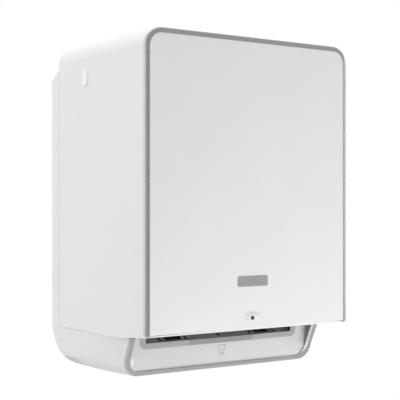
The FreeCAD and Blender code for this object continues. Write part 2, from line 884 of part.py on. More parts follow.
def module_frame():
    outer = module_half + module_plate
    low = module_boss_height
    profile = [
        (behind_face(frame_front_depth), low, 0),
        (behind_face(frame_rear_depth), low, 0),
        (behind_face(frame_rear_depth), frame_rear_top, frame_round),
        (behind_face(frame_shoulder_depth), frame_rear_top, frame_round),
        (behind_face(frame_front_depth), frame_front_top, 0),
    ]
    plate = slab_x(profile, module_half, outer)
    floor = box(-outer, outer, behind_face(frame_floor_depth), behind_face(frame_rear_depth), low,
                low + module_plate)
    front_y0 = behind_face(frame_front_depth)
    front_bar = box(-outer, outer, front_y0, front_y0 + front_bar_depth, front_bar_low, front_bar_high)
    spring_y = behind_face(spine_depth)
    spring_bar = box(-outer, outer, spring_y, spring_y + 2 * spine_size, spring_bar_height,
                     spring_bar_height + spring_bar_thickness)
    rear_y = behind_face(frame_rear_depth)
    rear_bar = box(-outer, outer, rear_y - rear_bar_depth, rear_y, frame_rear_top - 3 * rear_bar_height,
                   frame_rear_top - 2 * rear_bar_height)
    frame = joined([plate, mirrored(plate), floor, front_bar, spring_bar, rear_bar])
    frame = frame.cut(rod_x(-outer - overrun, outer + overrun, feed_y, feed_z, bush_radius))
    frame = frame.cut(rod_x(-outer - overrun, outer + overrun, carrier_y, carrier_pivot_height,
                            pinch_shaft_radius + pin_gap))
    frame = frame.cut(rod_x(0, outer + overrun, idler_y(), idler_z(), axle_radius))
    frame = frame.cut(rod_x(0, outer + overrun, pinion_y(), pinion_z(), 2 * motor_shaft_radius))
    for x, y in module_boss_places():
        frame = frame.cut(rod_z(low - overrun, low + overrun, x, y, module_screw_radius))
    for y, z in motor_screw_places():
        frame = frame.cut(rod_x(module_half - overrun, outer + overrun, y, z, motor_screw_radius))
    return frame


# Gear train on the right: motor pinion, idler and feed gear
axle_radius = 2.5
motor_shaft_radius = 2.0


def gear_x():
    return module_half + module_plate + 2 * body_gap


def centre_distance(teeth_a, teeth_b):
    return gear_module * (teeth_a + teeth_b) / 2


def idler_y():
    return feed_y + centre_distance(feed_teeth, idler_teeth) * math.cos(idler_direction)


def idler_z():
    return feed_z + centre_distance(feed_teeth, idler_teeth) * math.sin(idler_direction)


def pinion_y():
    return idler_y() + centre_distance(idler_teeth, pinion_teeth) * math.cos(pinion_direction)


def pinion_z():
    return idler_z() + centre_distance(idler_teeth, pinion_teeth) * math.sin(pinion_direction)


def involute(angle):
    return math.tan(angle) - angle


def gear_outline(teeth, phase, y, z):
    """Corners of a spur gear with involute flanks, one tooth centred at the phase angle."""
    pitch = gear_module * teeth / 2
    base = pitch * math.cos(gear_pressure_angle)
    tip = pitch + addendum_share * gear_module
    root = pitch - dedendum_share * gear_module
    half_tooth = math.pi / (2 * teeth) - gear_backlash / (2 * pitch)
    flank = []
    for share in flank_shares:
        radius = max(base, root) + (tip - max(base, root)) * share
        roll = math.acos(min(1.0, base / radius))
        flank.append((radius, half_tooth + involute(gear_pressure_angle) - involute(roll)))
    flank.insert(0, (root, flank[0][1]))
    corners = []
    for tooth in range(teeth):
        middle = phase + 2 * math.pi * tooth / teeth
        for radius, angle in flank:
            corners.append((radius, middle - angle))
        for radius, angle in reversed(flank):
            corners.append((radius, middle + angle))
    return [(y + r * math.cos(a), z + r * math.sin(a), 0) for r, a in corners]


def gear(teeth, phase, y, z, bore, spoked):
    x = gear_x()
    blank = slab_x(gear_outline(teeth, phase, y, z), x, x + gear_width)
    if spoked:
        rim = gear_module * teeth / 2 - gear_rim
        recess = rod_x(x + gear_web, x + gear_width + overrun, y, z, rim)
        recess = recess.cut(rod_x(x, x + gear_width + overrun, y, z, bore + gear_hub_wall))
        blank = blank.cut(recess)
    return blank.cut(rod_x(x - overrun, x + gear_width + overrun, y, z, bore))


def idler_phase():
    return idler_direction + math.pi + math.pi / idler_teeth


def pinion_phase():
    lead = idler_phase() - pinion_direction
    return pinion_direction + math.pi - lead * idler_teeth / pinion_teeth + math.pi / pinion_teeth


def feed_gear():
    return gear(feed_teeth, idler_direction, feed_y, feed_z, feed_shaft_radius, True)


def idler_gear():
    return gear(idler_teeth, idler_phase(), idler_y(), idler_z(), axle_radius + pin_gap, True)


def motor_pinion():
    return gear(pinion_teeth, pinion_phase(), pinion_y(), pinion_z(), motor_shaft_radius, False)


def idler_axle():
    end = gear_x() + gear_width + body_gap
    pin = rod_x(module_half, end, idler_y(), idler_z(), axle_radius)
    head = rod_x(end, end + sheet, idler_y(), idler_z(), axle_radius + sheet)
    return joined([pin, head])


# Gear motor: can, gearbox and flange on the inner face of the right side plate
motor_radius = 13.0
motor_can_length = 28.0
gearbox_radius = 14.0
gearbox_length = 12.0
motor_cap_radius = 5.0
motor_cap_length = 2.5
motor_bore_depth = 9.0
motor_flange = 2.0
motor_ear_spread = 18.0
motor_ear_radius = 4.5
motor_screw_radius = 1.5
motor_screw_head_radius = 3.0
motor_screw_head = 1.8


def motor_screw_places():
    return [(pinion_y() + side * motor_ear_spread, pinion_z()) for side in (-1, 1)]


def gear_motor():
    x = module_half
    y = pinion_y()
    z = pinion_z()
    ears = motor_screw_places()
    flange = slab_x(bar_between(ears[0], ears[1], motor_ear_radius), x - motor_flange, x)
    gearbox = rod_x(x - gearbox_length, x, y, z, gearbox_radius)
    can = rod_x(x - gearbox_length - motor_can_length, x - gearbox_length, y, z, motor_radius)
    cap_x = x - gearbox_length - motor_can_length
    cap = rod_x(cap_x - motor_cap_length, cap_x, y, z, motor_cap_radius)
    motor = joined([flange, gearbox, can, cap])
    motor = motor.cut(rod_x(x - motor_bore_depth, x + overrun, y, z, motor_shaft_radius + pin_gap))
    for ear_y, ear_z in ears:
        motor = motor.cut(rod_x(x - motor_flange - overrun, x + overrun, ear_y, ear_z, motor_screw_radius))
    return motor


def motor_shaft():
    return rod_x(module_half - motor_bore_depth + body_gap, gear_x() + gear_width, pinion_y(), pinion_z(),
                 motor_shaft_radius)


def motor_screws():
    screws = []
    outer = module_half + module_plate
    for y, z in motor_screw_places():
        shank = rod_x(module_half - motor_flange, outer, y, z, motor_screw_radius)
        head = rod_x(module_half - motor_flange - motor_screw_head, module_half - motor_flange, y, z,
                     motor_screw_head_radius)
        screws.append(joined([shank, head]))
    return group(screws)


# Tear bar: toothed steel strip behind the upper edge of the slot

def tear_bar():
    half = slot_half - sheet
    teeth = int(2 * half / tooth_pitch)
    pitch = 2 * half / teeth
    y = behind_face(panel_depth + panel_wall)
    valley = slot_top + tooth_height / 2
    corners = [(half, valley, 0), (half, tear_bar_top, 0), (-half, tear_bar_top, 0), (-half, valley, 0)]
    for tooth in range(teeth):
        x = -half + tooth * pitch
        corners.append((x + pitch / 2, slot_top - tooth_height / 2, 0))
        if tooth < teeth - 1:
            corners.append((x + pitch, valley, 0))
    return slab_y(corners, y, y + sheet)


# Sensor board and its light tube, on the slot frame's tab behind the lens

def sensor_board():
    back = behind_face(panel_depth - band_proud)
    half = sensor_board_width / 2
    return box(-half, half, back - board_thickness, back, panel_top + sheet,
               panel_top + sheet + sensor_board_height)


def sensor_tube():
    back = behind_face(panel_depth - band_proud) - board_thickness
    start = shell_front_y + cover_wall + tube_front_gap
    tube = rod_y(start, back, 0, lens_height, tube_radius)
    return tube.cut(rod_y(start - overrun, back - tube_wall, 0, lens_height, tube_radius - tube_wall))


# Roll holders: fixed left arm, sprung right arm, and a hub that turns on each
arm_thickness = 4.0
arm_half = 13.0
arm_tip_half = 11.0
arm_roll_gap = 6.5
arm_foot_gap = 8.5
arm_foot_half = 24.0
arm_foot_thickness = 3.0
stub_radius = 5.0
stub_length = 14.0
hub_flange_radius = 27.0
hub_flange = 3.0
hub_taper = 2.0
arm_pivot_inset = 13.0
arm_pivot_out = 9.0
arm_pin_radius = 2.5
knuckle_radius = 5.5
knuckle_height = 9.0
arm_screw_radius = 2.0
arm_screw_head_radius = 4.0
arm_screw_head = 2.2
arm_rib = 2.0
arm_inner_x = roll_width / 2 + arm_roll_gap
arm_foot_length = ear_inner_x - arm_inner_x - arm_thickness - arm_foot_gap
back_inner_y = -housing_wall


def arm_outline(rear_y, rear_half, front_half):
    z = roll_centre_height
    tip = roll_centre_y - front_half
    return [
        (rear_y, z - rear_half, 0),
        (rear_y, z + rear_half, 0),
        (roll_centre_y, z + front_half, 0),
        (tip, z + front_half, front_half * round_end_share),
        (tip, z - front_half, front_half * round_end_share),
        (roll_centre_y, z - front_half, 0),
    ]


def roll_arm_left():
    inner = -arm_inner_x
    outer = inner - arm_thickness
    arm = slab_x(arm_outline(back_inner_y, arm_half, arm_tip_half), outer, inner)
    foot = box(outer - arm_foot_length, inner, back_inner_y - arm_foot_thickness, back_inner_y,
               roll_centre_height - arm_foot_half, roll_centre_height + arm_foot_half)
    stub = rod_x(inner - trim_gap, inner + stub_length, roll_centre_y, roll_centre_height, stub_radius)
    rib = box(outer - arm_rib, outer + trim_gap, roll_centre_y, back_inner_y,
              roll_centre_height - arm_rib / 2, roll_centre_height + arm_rib / 2)
    arm = joined([arm, foot, stub, rib])
    for x, z in arm_screw_places(-1):
        arm = arm.cut(rod_y(back_inner_y - overrun, back_inner_y + overrun, x, z, arm_screw_radius))
    return arm


def arm_screw_places(side):
    x = side * (arm_inner_x + arm_thickness + arm_foot_length - 2 * arm_screw_head_radius)
    spread = arm_foot_half - 2 * arm_screw_head_radius
    return [(x, roll_centre_height - spread), (x, roll_centre_height + spread)]


def arm_screws():
    screws = []
    face = back_inner_y - arm_foot_thickness
    for side in (-1, 1):
        for x, z in arm_screw_places(side):
            shank = rod_y(face, back_inner_y, x, z, arm_screw_radius)
            head = rod_y(face - arm_screw_head, face, x, z, arm_screw_head_radius)
            screws.append(joined([shank, head]))
    return group(screws)


pivot_x = arm_inner_x + arm_pivot_out
pivot_y = -housing_wall - arm_pivot_inset


def arm_bracket():
    foot = box(arm_inner_x - arm_thickness, arm_inner_x + arm_thickness + arm_foot_length,
               back_inner_y - arm_foot_thickness, back_inner_y,
               roll_centre_height - arm_foot_half, roll_centre_height + arm_foot_half)
    pieces = [foot]
    for low, high in knuckle_spans(fixed=True):
        pieces.append(rod_z(low, high, pivot_x, pivot_y, knuckle_radius))
        pieces.append(box(pivot_x - knuckle_radius, pivot_x + knuckle_radius, pivot_y,
                          back_inner_y - arm_foot_thickness / 2, low, high))
    bracket = joined(pieces)
    bracket = bracket.cut(rod_z(0, body_height, pivot_x, pivot_y, arm_pin_radius))
    for x, z in arm_screw_places(1):
        bracket = bracket.cut(rod_y(back_inner_y - overrun, back_inner_y + overrun, x, z, arm_screw_radius))
    return bracket


def knuckle_spans(fixed):
    """Heights of the hinge knuckles: the bracket's outside, the arm's inside them."""
    z = roll_centre_height
    outer = arm_half + knuckle_height
    if fixed:
        return [(z - outer, z - arm_half), (z + arm_half, z + outer)]
    inner = arm_half - body_gap
    return [(z - inner, z - inner + knuckle_height), (z + inner - knuckle_height, z + inner)]


def roll_arm_right():
    inner = arm_inner_x
    rear = pivot_y
    arm = slab_x(arm_outline(rear, arm_half - 2 * sheet, arm_tip_half), inner, inner + arm_thickness)
    pieces = [arm]
    for low, high in knuckle_spans(fixed=False):
        pieces.append(rod_z(low, high, pivot_x, pivot_y, knuckle_radius))
    arm = joined(pieces)
    arm = arm.cut(rod_z(0, body_height, pivot_x, pivot_y, arm_pin_radius + pin_gap))
    stub = rod_x(inner - stub_length, inner + trim_gap, roll_centre_y, roll_centre_height, stub_radius)
    return joined([arm, stub])


def arm_pivot_pin():
    z = roll_centre_height
    reach = arm_half + knuckle_height + sheet
    return rod_z(z - reach, z + reach, pivot_x, pivot_y, arm_pin_radius)


def arm_spring():
    spans = knuckle_spans(fixed=False)
    low = spans[0][1] + body_gap
    high = spans[1][0] - body_gap
    bore = arm_pin_radius + 2 * body_gap
    tube = rod_z(low, high, pivot_x, pivot_y, bore + sheet)
    return tube.cut(rod_z(low - overrun, high + overrun, pivot_x, pivot_y, bore))


def roll_hub(side):
    """Hub that the roll's core slips over, turned from flange to tapered plug."""
    plug = roll_core_bore / 2 - 2 * body_gap
    flange_x = arm_inner_x - body_gap
    points = [
        (flange_x, stub_radius + pin_gap),
        (flange_x, hub_flange_radius),
        (flange_x - hub_flange, hub_flange_radius),
        (flange_x - hub_flange, plug),
        (arm_inner_x - stub_length - body_gap, plug - hub_taper),
        (arm_inner_x - stub_length - body_gap, stub_radius + pin_gap),
    ]
    corners = [vec(side * x, roll_centre_y + r, roll_centre_height) for x, r in points]
    face = Part.Face(Part.makePolygon(corners + corners[:1]))
    return face.revolve(vec(0, roll_centre_y, roll_centre_height), vec(1, 0, 0), 360)


# Battery box on the left inner wall, with four cells in two columns and a hinged door
cell_radius = 16.8
cell_length = 61.5
cell_cap_radius = 4.75
cell_cap_height = 1.5
cell_gap = 0.7
box_wall = 2.0
contact_thickness = 1.4
contact_size = 12.0
arm_foot_clearance = 6.0
door_thickness = 2.4
door_barrel_radius = 2.2
door_pin_radius = 1.25
door_pin_inset = 2.6
door_knuckle = 6.0
door_knuckle_inset = 18.0
door_grip = 3.0

battery_left = -ear_inner_x
battery_inner_width = 2 * cell_radius + 2 * cell_gap
battery_right = battery_left + battery_inner_width + 2 * box_wall
battery_rear = back_inner_y
battery_inner_depth = 4 * cell_radius + 3 * cell_gap
battery_front = battery_rear - box_wall - battery_inner_depth
battery_inner_height = 2 * cell_length + 2 * contact_thickness
battery_high = roll_centre_height - arm_foot_half - arm_foot_clearance
battery_low = battery_high - battery_inner_height - 2 * box_wall
door_y = battery_front - body_gap - door_barrel_radius
door_x = battery_left + door_pin_inset


def cell_columns():
    x = battery_left + box_wall + battery_inner_width / 2
    rear = battery_rear - box_wall - cell_gap - cell_radius
    return [(x, rear), (x, rear - 2 * cell_radius - cell_gap)]


def battery_box():
    outer = box(battery_left, battery_right, battery_front, battery_rear, battery_low, battery_high)
    inner = box(battery_left + box_wall, battery_right - box_wall, battery_front - overrun,
                battery_rear - box_wall, battery_low + box_wall, battery_high - box_wall)
    case = outer.cut(inner)
    ears = []
    for low, high in door_spans(fixed=True):
        ears.append(rod_z(low, high, door_x, door_y, door_barrel_radius))
        ears.append(box(battery_left, door_x, door_y, battery_front + trim_gap, low, high))
    case = joined([case] + ears)
    return case.cut(rod_z(0, body_height, door_x, door_y, door_pin_radius))


def door_spans(fixed):
    low = battery_low + door_knuckle_inset
    high = battery_high - door_knuckle_inset
    if fixed:
        return [(low, low + door_knuckle), (high - door_knuckle, high)]
    return [(low + door_knuckle + body_gap, high - door_knuckle - body_gap)]


def battery_door():
    back = battery_front - body_gap
    plate = box(door_x + door_barrel_radius, battery_right, back - door_thickness, back,
                battery_low, battery_high)
    low, high = door_spans(fixed=False)[0]
    barrel = rod_z(low, high, door_x, door_y, door_barrel_radius)
    web = box(door_x, door_x + door_barrel_radius + trim_gap, back - door_thickness, back, low, high)
    middle = (battery_low + battery_high) / 2
    face = back - door_thickness
    grip = box(battery_right - 2 * door_grip, battery_right - door_grip, face - door_grip / 2,
               face + trim_gap, middle - 4 * door_grip, middle + 4 * door_grip)
    door = joined([plate, barrel, web, grip])
    return door.cut(rod_z(0, body_height, door_x, door_y, door_pin_radius + pin_gap))


def battery_door_pin():
    low = door_spans(fixed=True)[0][0]
    high = door_spans(fixed=True)[1][1]
    return rod_z(low, high, door_x, door_y, door_pin_radius)


def battery_cells():
    cells = []
    base = battery_low + box_wall + contact_thickness
    for x, y in cell_columns():
        for row in (0, 1):
            low = base + row * cell_length
            can = rod_z(low, low + cell_length - cell_cap_height, x, y, cell_radius)
            cap = rod_z(low + cell_length - cell_cap_height, low + cell_length, x, y, cell_cap_radius)
            cells.append(joined([can, cap]))
    return group(cells)


def battery_contacts():
    plates = []
    low = battery_low + box_wall
    high = battery_high - box_wall
    for x, y in cell_columns():
        for z in (low, high - contact_thickness):
            plates.append(box(x - contact_size / 2, x + contact_size / 2, y - contact_size / 2,
                              y + contact_size / 2, z, z + contact_thickness))
    return group(plates)


# Control box on the right inner wall: board, feed button and two slide switches
control_left_gap = 1.0
control_height = 78.0
control_depth = 66.0
control_board_inset = 12.0
chip_size = 14.0
chip_height = 2.5
relay_height = 9.0
button_radius = 6.0
button_flange = 1.5
button_proud = 3.0
button_travel = 1.5
button_drop = 16.0
switch_drop = 38.0
switch_spacing = 18.0
switch_width = 12.0
switch_height = 5.0
knob_size = 4.0
knob_proud = 2.0
switch_travel = 4.0

control_left = arm_inner_x - control_left_gap
control_right = ear_inner_x
control_front = back_inner_y - control_depth
control_high = battery_high
control_low = control_high - control_height
control_x = (control_left + control_right) / 2
board_y = control_front + box_wall + control_board_inset


def switch_heights():
    return [control_high - switch_drop, control_high - switch_drop - switch_spacing]


def control_box():
    case = box(control_left, control_right, control_front, back_inner_y, control_low, control_high)
    case = case.cut(box(control_left + box_wall, control_right - box_wall, control_front + box_wall,
                        back_inner_y + overrun, control_low + box_wall, control_high - box_wall))
    case = case.cut(rod_y(control_front - overrun, control_front + overrun / 2, control_x,
                          control_high - button_drop, button_radius + body_gap))
    for z in switch_heights():
        case = case.cut(box(control_x - switch_width / 2, control_x + switch_width / 2,
                            control_front - overrun, control_front + overrun / 2,
                            z - switch_height / 2, z + switch_height / 2))
    return case


def circuit_board():
    edge = box_wall
    board = box(control_left + edge, control_right - edge, board_y, board_y + board_thickness,
                control_low + edge, control_high - edge)
    back = board_y + board_thickness
    chip = box(control_x - chip_size / 2, control_x + chip_size / 2, back, back + chip_height,
               control_low + chip_size, control_low + 2 * chip_size)
    relay = box(control_x - chip_size / 2, control_x + chip_size / 2, back, back + relay_height,
                control_high - 2 * chip_size, control_high - chip_size)
    pieces = [board, chip, relay]
    for z in switch_heights():
        pieces.append(box(control_x - switch_width / 2 + sheet, control_x + switch_width / 2 - sheet,
                          board_y - knob_size, board_y, z - switch_height / 2, z + switch_height / 2))
    return joined(pieces)


def feed_button():
    z = control_high - button_drop
    inside = control_front + box_wall + body_gap
    cap = rod_y(control_front - button_proud, inside + trim_gap, control_x, z, button_radius)
    flange = rod_y(inside, inside + button_flange, control_x, z, button_radius + button_flange)
    stem = rod_y(inside, board_y - button_travel - body_gap, control_x, z, button_radius / 2)
    return joined([cap, flange, stem])


def mode_switch(index):
    z = switch_heights()[index]
    x = control_x - switch_travel / 2
    return box(x - knob_size / 2, x + knob_size / 2, control_front - knob_proud,
               board_y - knob_size - trim_gap, z - knob_size / 2, z + knob_size / 2)


# Everything, written piece by piece with the origin at the centre of the wall screws

def all_pieces():
    right_pin = hinge_pin()
    right_button = latch_button()
    return {
        "back_housing": back_housing(),
        "chin_rim": chin_rim(),
        "chin_panel": chin_panel(),
        "slot_frame": slot_frame(),
        "slot_insert": slot_insert(),
        "guide_ramp": guide_ramp(),
        "module_frame": module_frame(),
        "module_screws": module_screws(),
        "tear_bar": tear_bar(),
        "shaft_bushes": shaft_bushes(),
        "gear_motor": gear_motor(),
        "motor_screws": motor_screws(),
        "idler_axle": idler_axle(),
        "sensor_board": sensor_board(),
        "sensor_tube": sensor_tube(),
        "roll_arm_left": roll_arm_left(),
        "arm_bracket": arm_bracket(),
        "arm_screws": arm_screws(),
        "arm_pivot_pin": arm_pivot_pin(),
        "arm_spring": arm_spring(),
        "battery_box": battery_box(),
        "battery_cells": battery_cells(),
        "battery_contacts": battery_contacts(),
        "battery_door_pin": battery_door_pin(),
        "control_box": control_box(),
        "circuit_board": circuit_board(),
        "cover_shell": cover_shell(),
        "bezel": bezel(),
        "faceplate": faceplate(),
        "sensor_lens": sensor_lens(),
        "hinge_pin_left": mirrored(right_pin),
        "hinge_pin_right": right_pin,
        "latch_retainers": latch_retainers(),
        "latch_springs": latch_springs(),
        "latch_button_left": mirrored(right_button),
        "latch_button_right": right_button,
        "feed_shaft": feed_shaft(),
        "feed_cores": feed_cores(),
        "feed_tyres": feed_tyres(),
        "feed_gear": feed_gear(),
        "idler_gear": idler_gear(),
        "motor_pinion": motor_pinion(),
        "motor_shaft": motor_shaft(),
        "pinch_carrier": pinch_carrier(),
        "pinch_springs": pinch_springs(),
        "pinch_shaft": pinch_shaft(),
        "pinch_tyres": pinch_tyres(),
        "roll_arm_right": roll_arm_right(),
        "hub_left": roll_hub(-1),
        "hub_right": roll_hub(1),
        "battery_door": battery_door(),
        "feed_button": feed_button(),
        "length_switch": mode_switch(0),
        "delay_switch": mode_switch(1),
    }


os.makedirs("parts", exist_ok=True)
for name, shape in all_pieces().items():
    shape.translate(vec(0, 0, -origin_height))
    shape.exportStep("parts/" + name + ".step")
    print(name, "solids", len(shape.Solids), "volume", round(shape.Volume), "valid", shape.isValid())
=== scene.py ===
import json
import math

import bmesh
import bpy
from mathutils import Matrix, Vector


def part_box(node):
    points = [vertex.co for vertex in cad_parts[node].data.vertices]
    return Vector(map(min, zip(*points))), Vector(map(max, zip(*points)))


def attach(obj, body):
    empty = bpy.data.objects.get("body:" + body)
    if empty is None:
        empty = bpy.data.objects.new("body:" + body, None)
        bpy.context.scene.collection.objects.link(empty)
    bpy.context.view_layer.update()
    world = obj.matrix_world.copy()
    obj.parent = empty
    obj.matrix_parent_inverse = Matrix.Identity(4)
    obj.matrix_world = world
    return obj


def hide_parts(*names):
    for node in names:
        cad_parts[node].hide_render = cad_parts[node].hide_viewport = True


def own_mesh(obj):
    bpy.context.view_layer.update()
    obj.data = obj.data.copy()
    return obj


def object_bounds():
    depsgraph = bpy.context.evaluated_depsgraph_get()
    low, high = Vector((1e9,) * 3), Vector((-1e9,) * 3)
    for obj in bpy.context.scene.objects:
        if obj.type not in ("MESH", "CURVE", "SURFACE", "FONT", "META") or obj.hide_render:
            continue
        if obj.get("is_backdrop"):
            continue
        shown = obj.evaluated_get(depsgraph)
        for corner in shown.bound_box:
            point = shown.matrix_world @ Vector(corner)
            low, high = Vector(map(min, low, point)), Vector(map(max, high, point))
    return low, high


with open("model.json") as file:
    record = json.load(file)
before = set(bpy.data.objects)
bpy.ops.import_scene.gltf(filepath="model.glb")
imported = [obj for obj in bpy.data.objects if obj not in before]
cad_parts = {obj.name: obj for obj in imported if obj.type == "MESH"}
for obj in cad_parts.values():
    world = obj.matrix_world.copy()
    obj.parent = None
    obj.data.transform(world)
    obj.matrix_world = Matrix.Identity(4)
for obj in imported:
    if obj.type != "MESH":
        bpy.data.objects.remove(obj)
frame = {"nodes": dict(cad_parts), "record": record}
cad_low, cad_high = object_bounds()


# Back housing
# The white moulding that screws to the wall: back, rear strip, lower tray, and the two inner walls
# whose ears carry the cover. It is ABS, polished in the mould, so its outside has a soft gloss.

body_of_node = {node: body for body, nodes in frame["record"]["behaviour"]["bodies"].items()
                for node in nodes}
slot_of_node = {part["node"]: part["material_slot"] for part in frame["record"]["subparts"]}


def put(tree, kind, sockets=None, **settings):
    """Adds a node, with each named socket linked or set."""
    node = tree.nodes.new(kind)
    for name, value in settings.items():
        setattr(node, name, value)
    for name, value in (sockets or {}).items():
        if isinstance(value, bpy.types.NodeSocket):
            tree.links.new(value, node.inputs[name])
        else:
            node.inputs[name].default_value = value
    return node


def axes_of(tree, output):
    """The X, Y and Z of one of the piece's own coordinates, such as Object or Normal."""
    place = put(tree, "ShaderNodeTexCoord")
    return put(tree, "ShaderNodeSeparateXYZ", {"Vector": place.outputs[output]}).outputs


def grain(tree, scale, detail=2.0, stretch=(1.0, 1.0, 1.0)):
    """Noise whose scale counts waves per metre, drawn out along an axis by the stretch."""
    place = put(tree, "ShaderNodeTexCoord")
    drawn = put(tree, "ShaderNodeMapping", {"Vector": place.outputs["Object"], "Scale": stretch})
    noise = put(tree, "ShaderNodeTexNoise", {"Vector": drawn.outputs[0], "Scale": scale, "Detail": detail})
    return noise.outputs[0]


noise_low, noise_high = 0.3, 0.7


def spread(tree, value, low, high):
    """Spreads the middle of a noise over the values from low to high."""
    limits = {"From Min": noise_low, "From Max": noise_high, "To Min": low, "To Max": high}
    return put(tree, "ShaderNodeMapRange", {"Value": value, **limits}).outputs[0]


uneven = 0.12


def finish(name, colour, roughness, mottle=0.012, cloud=16.0, skin=1400.0, relief=0.04, depth=0.0001,
           stretch=(1.0, 1.0, 1.0), metallic=0.0, coat=0.0):
    """A surface with clouded colour, uneven gloss and a fine relief, all at real size."""
    material = bpy.data.materials.new(name)
    material.use_nodes = True
    tree = material.node_tree
    shader = tree.nodes["Principled BSDF"]
    shader.inputs["Metallic"].default_value = metallic
    shader.inputs["Coat Weight"].default_value = coat
    tint = put(tree, "ShaderNodeValToRGB", {"Fac": grain(tree, cloud, 3.0, stretch)})
    for stop, place, change in zip(tint.color_ramp.elements, (0.35, 0.65), (1 - mottle, 1 + mottle)):
        stop.position = place
        stop.color = [min(1.0, part * change) for part in colour] + [1.0]
    tree.links.new(tint.outputs["Color"], shader.inputs["Base Color"])
    gloss = spread(tree, grain(tree, cloud * 5, 2.0, stretch),
                   roughness * (1 - uneven), roughness * (1 + uneven))
    tree.links.new(gloss, shader.inputs["Roughness"])
    bump = put(tree, "ShaderNodeBump", {"Strength": relief, "Distance": depth,
                                        "Height": grain(tree, skin, 2.0, stretch)})
    tree.links.new(bump.outputs["Normal"], shader.inputs["Normal"])
    return material


def blended(material, colour, share):
    """Blends a material's colour into another by a share worked out in its nodes."""
    tree = material.node_tree
    shader = tree.nodes["Principled BSDF"]
    before = shader.inputs["Base Color"].links[0].from_socket
    blend = put(tree, "ShaderNodeMix", {"Factor": share, "A": before}, data_type="RGBA")
    blend.inputs["B"].default_value = (*colour, 1.0)
    tree.links.new(blend.outputs["Result"], shader.inputs["Base Color"])


overhang_start, overhang_full = -0.3, -0.95


def painted_underside_shade(material, colour):
    """Blends a material into a darker colour where its surface turns down: painted shade on the underside."""
    tree = material.node_tree
    share = put(tree, "ShaderNodeMapRange", {"Value": axes_of(tree, "Normal")["Z"],
                                             "From Min": overhang_start, "From Max": overhang_full})
    blended(material, colour, share.outputs[0])


weld = 0.000001


def joined(mesh):
    """A mesh's loose facets as one editable skin."""
    facets = bmesh.new()
    facets.from_mesh(mesh)
    bmesh.ops.remove_doubles(facets, verts=facets.verts, dist=weld)
    return facets


def meshed(name, shape):
    """Turns an editable shape into a mesh and frees it."""
    mesh = bpy.data.meshes.new(name)
    shape.to_mesh(mesh)
    shape.free()
    return mesh


def flattened(piece):
    """Gives a piece the plain mesh that its modifiers make."""
    ready = piece.evaluated_get(bpy.context.evaluated_depsgraph_get())
    mesh = bpy.data.meshes.new_from_object(ready)
    piece.modifiers.clear()
    piece.data = mesh
    return piece


def shown(name, mesh, material):
    """Puts a mesh in the scene as a piece of one material."""
    mesh.materials.clear()
    mesh.materials.append(material)
    piece = bpy.data.objects.new(name, mesh)
    bpy.context.collection.objects.link(piece)
    return piece


def smoothed(piece, crease):
    """Shades a piece smooth between its creases, with its large faces left flat."""
    for face in piece.data.polygons:
        face.use_smooth = True
    piece.data.set_sharp_from_angle(angle=math.radians(crease))
    normals = piece.modifiers.new("flat_faces", "WEIGHTED_NORMAL")
    normals.keep_sharp = True
    normals.weight = 80
    return flattened(piece)


def settle(piece, *nodes):
    """Rides a piece on its nodes' body and lets it stand for them."""
    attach(piece, body_of_node[nodes[0]])
    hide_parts(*nodes)
    return piece


flat_angle = math.radians(0.2)
edge_angle = math.radians(50)


def dressed(node, material, edge=0.0, crease=30.0):
    """The node's facets joined into one skin with eased edges, standing for the node."""
    facets = joined(frame["nodes"][node].data)
    bmesh.ops.dissolve_limit(facets, angle_limit=flat_angle, verts=facets.verts, edges=facets.edges)
    piece = shown(node + "_skin", meshed(node + "_skin", facets), material)
    if edge:
        bevel = piece.modifiers.new("eased_edges", "BEVEL")
        bevel.width = edge
        bevel.segments = 2
        bevel.limit_method = "ANGLE"
        bevel.angle_limit = edge_angle
        flattened(piece)
    return settle(smoothed(piece, crease), node)


housing_white = finish("housing_white", (0.815, 0.815, 0.817), 0.4, mottle=0.008)
# Painted shade: the housing's white is darkened on faces that turn down.
painted_underside_shade(housing_white, (0.63, 0.63, 0.632))
dressed("back_housing", housing_white)


# Chin
# The grey rim is a soft-feel trim clipped over the tray's front edge. Inside it sits a pale scooped
# panel with a band of two greys round the towel slot, all of matt ABS.

turn_start, turn_full = 0.85, 0.3


def painted_side_light(material, colour):
    """Blends a material into a paler colour where its surface turns away from the room: painted light on its
    sides.
    """
    tree = material.node_tree
    fronting = put(tree, "ShaderNodeMath", {0: axes_of(tree, "Normal")["Y"]}, operation="ABSOLUTE")
    share = put(tree, "ShaderNodeMapRange", {"Value": fronting.outputs[0],
                                             "From Min": turn_start, "From Max": turn_full})
    blended(material, colour, share.outputs[0])


def painted_end_shade(material, colour, start, end, foot, top):
    """Blends a material into a darker colour towards its piece's ends, less so near its foot: painted shade.
    """
    tree = material.node_tree
    place = axes_of(tree, "Object")
    sideways = put(tree, "ShaderNodeMath", {0: place["X"]}, operation="ABSOLUTE")
    outward = put(tree, "ShaderNodeMapRange", {"Value": sideways.outputs[0], "From Min": start,
                                               "From Max": end}, interpolation_type="SMOOTHSTEP")
    upward = put(tree, "ShaderNodeMapRange", {"Value": place["Z"], "From Min": foot, "From Max": top},
                 interpolation_type="SMOOTHSTEP")
    both = put(tree, "ShaderNodeMath", {0: outward.outputs[0], 1: upward.outputs[0]}, operation="MULTIPLY")
    blended(material, colour, both.outputs[0])


def repaint(piece, material, picked):
    """Gives the faces that a test picks a material of their own."""
    piece.data.materials.append(material)
    for face in piece.data.polygons:
        if picked(face.center, face.normal):
            face.material_index = len(piece.data.materials) - 1


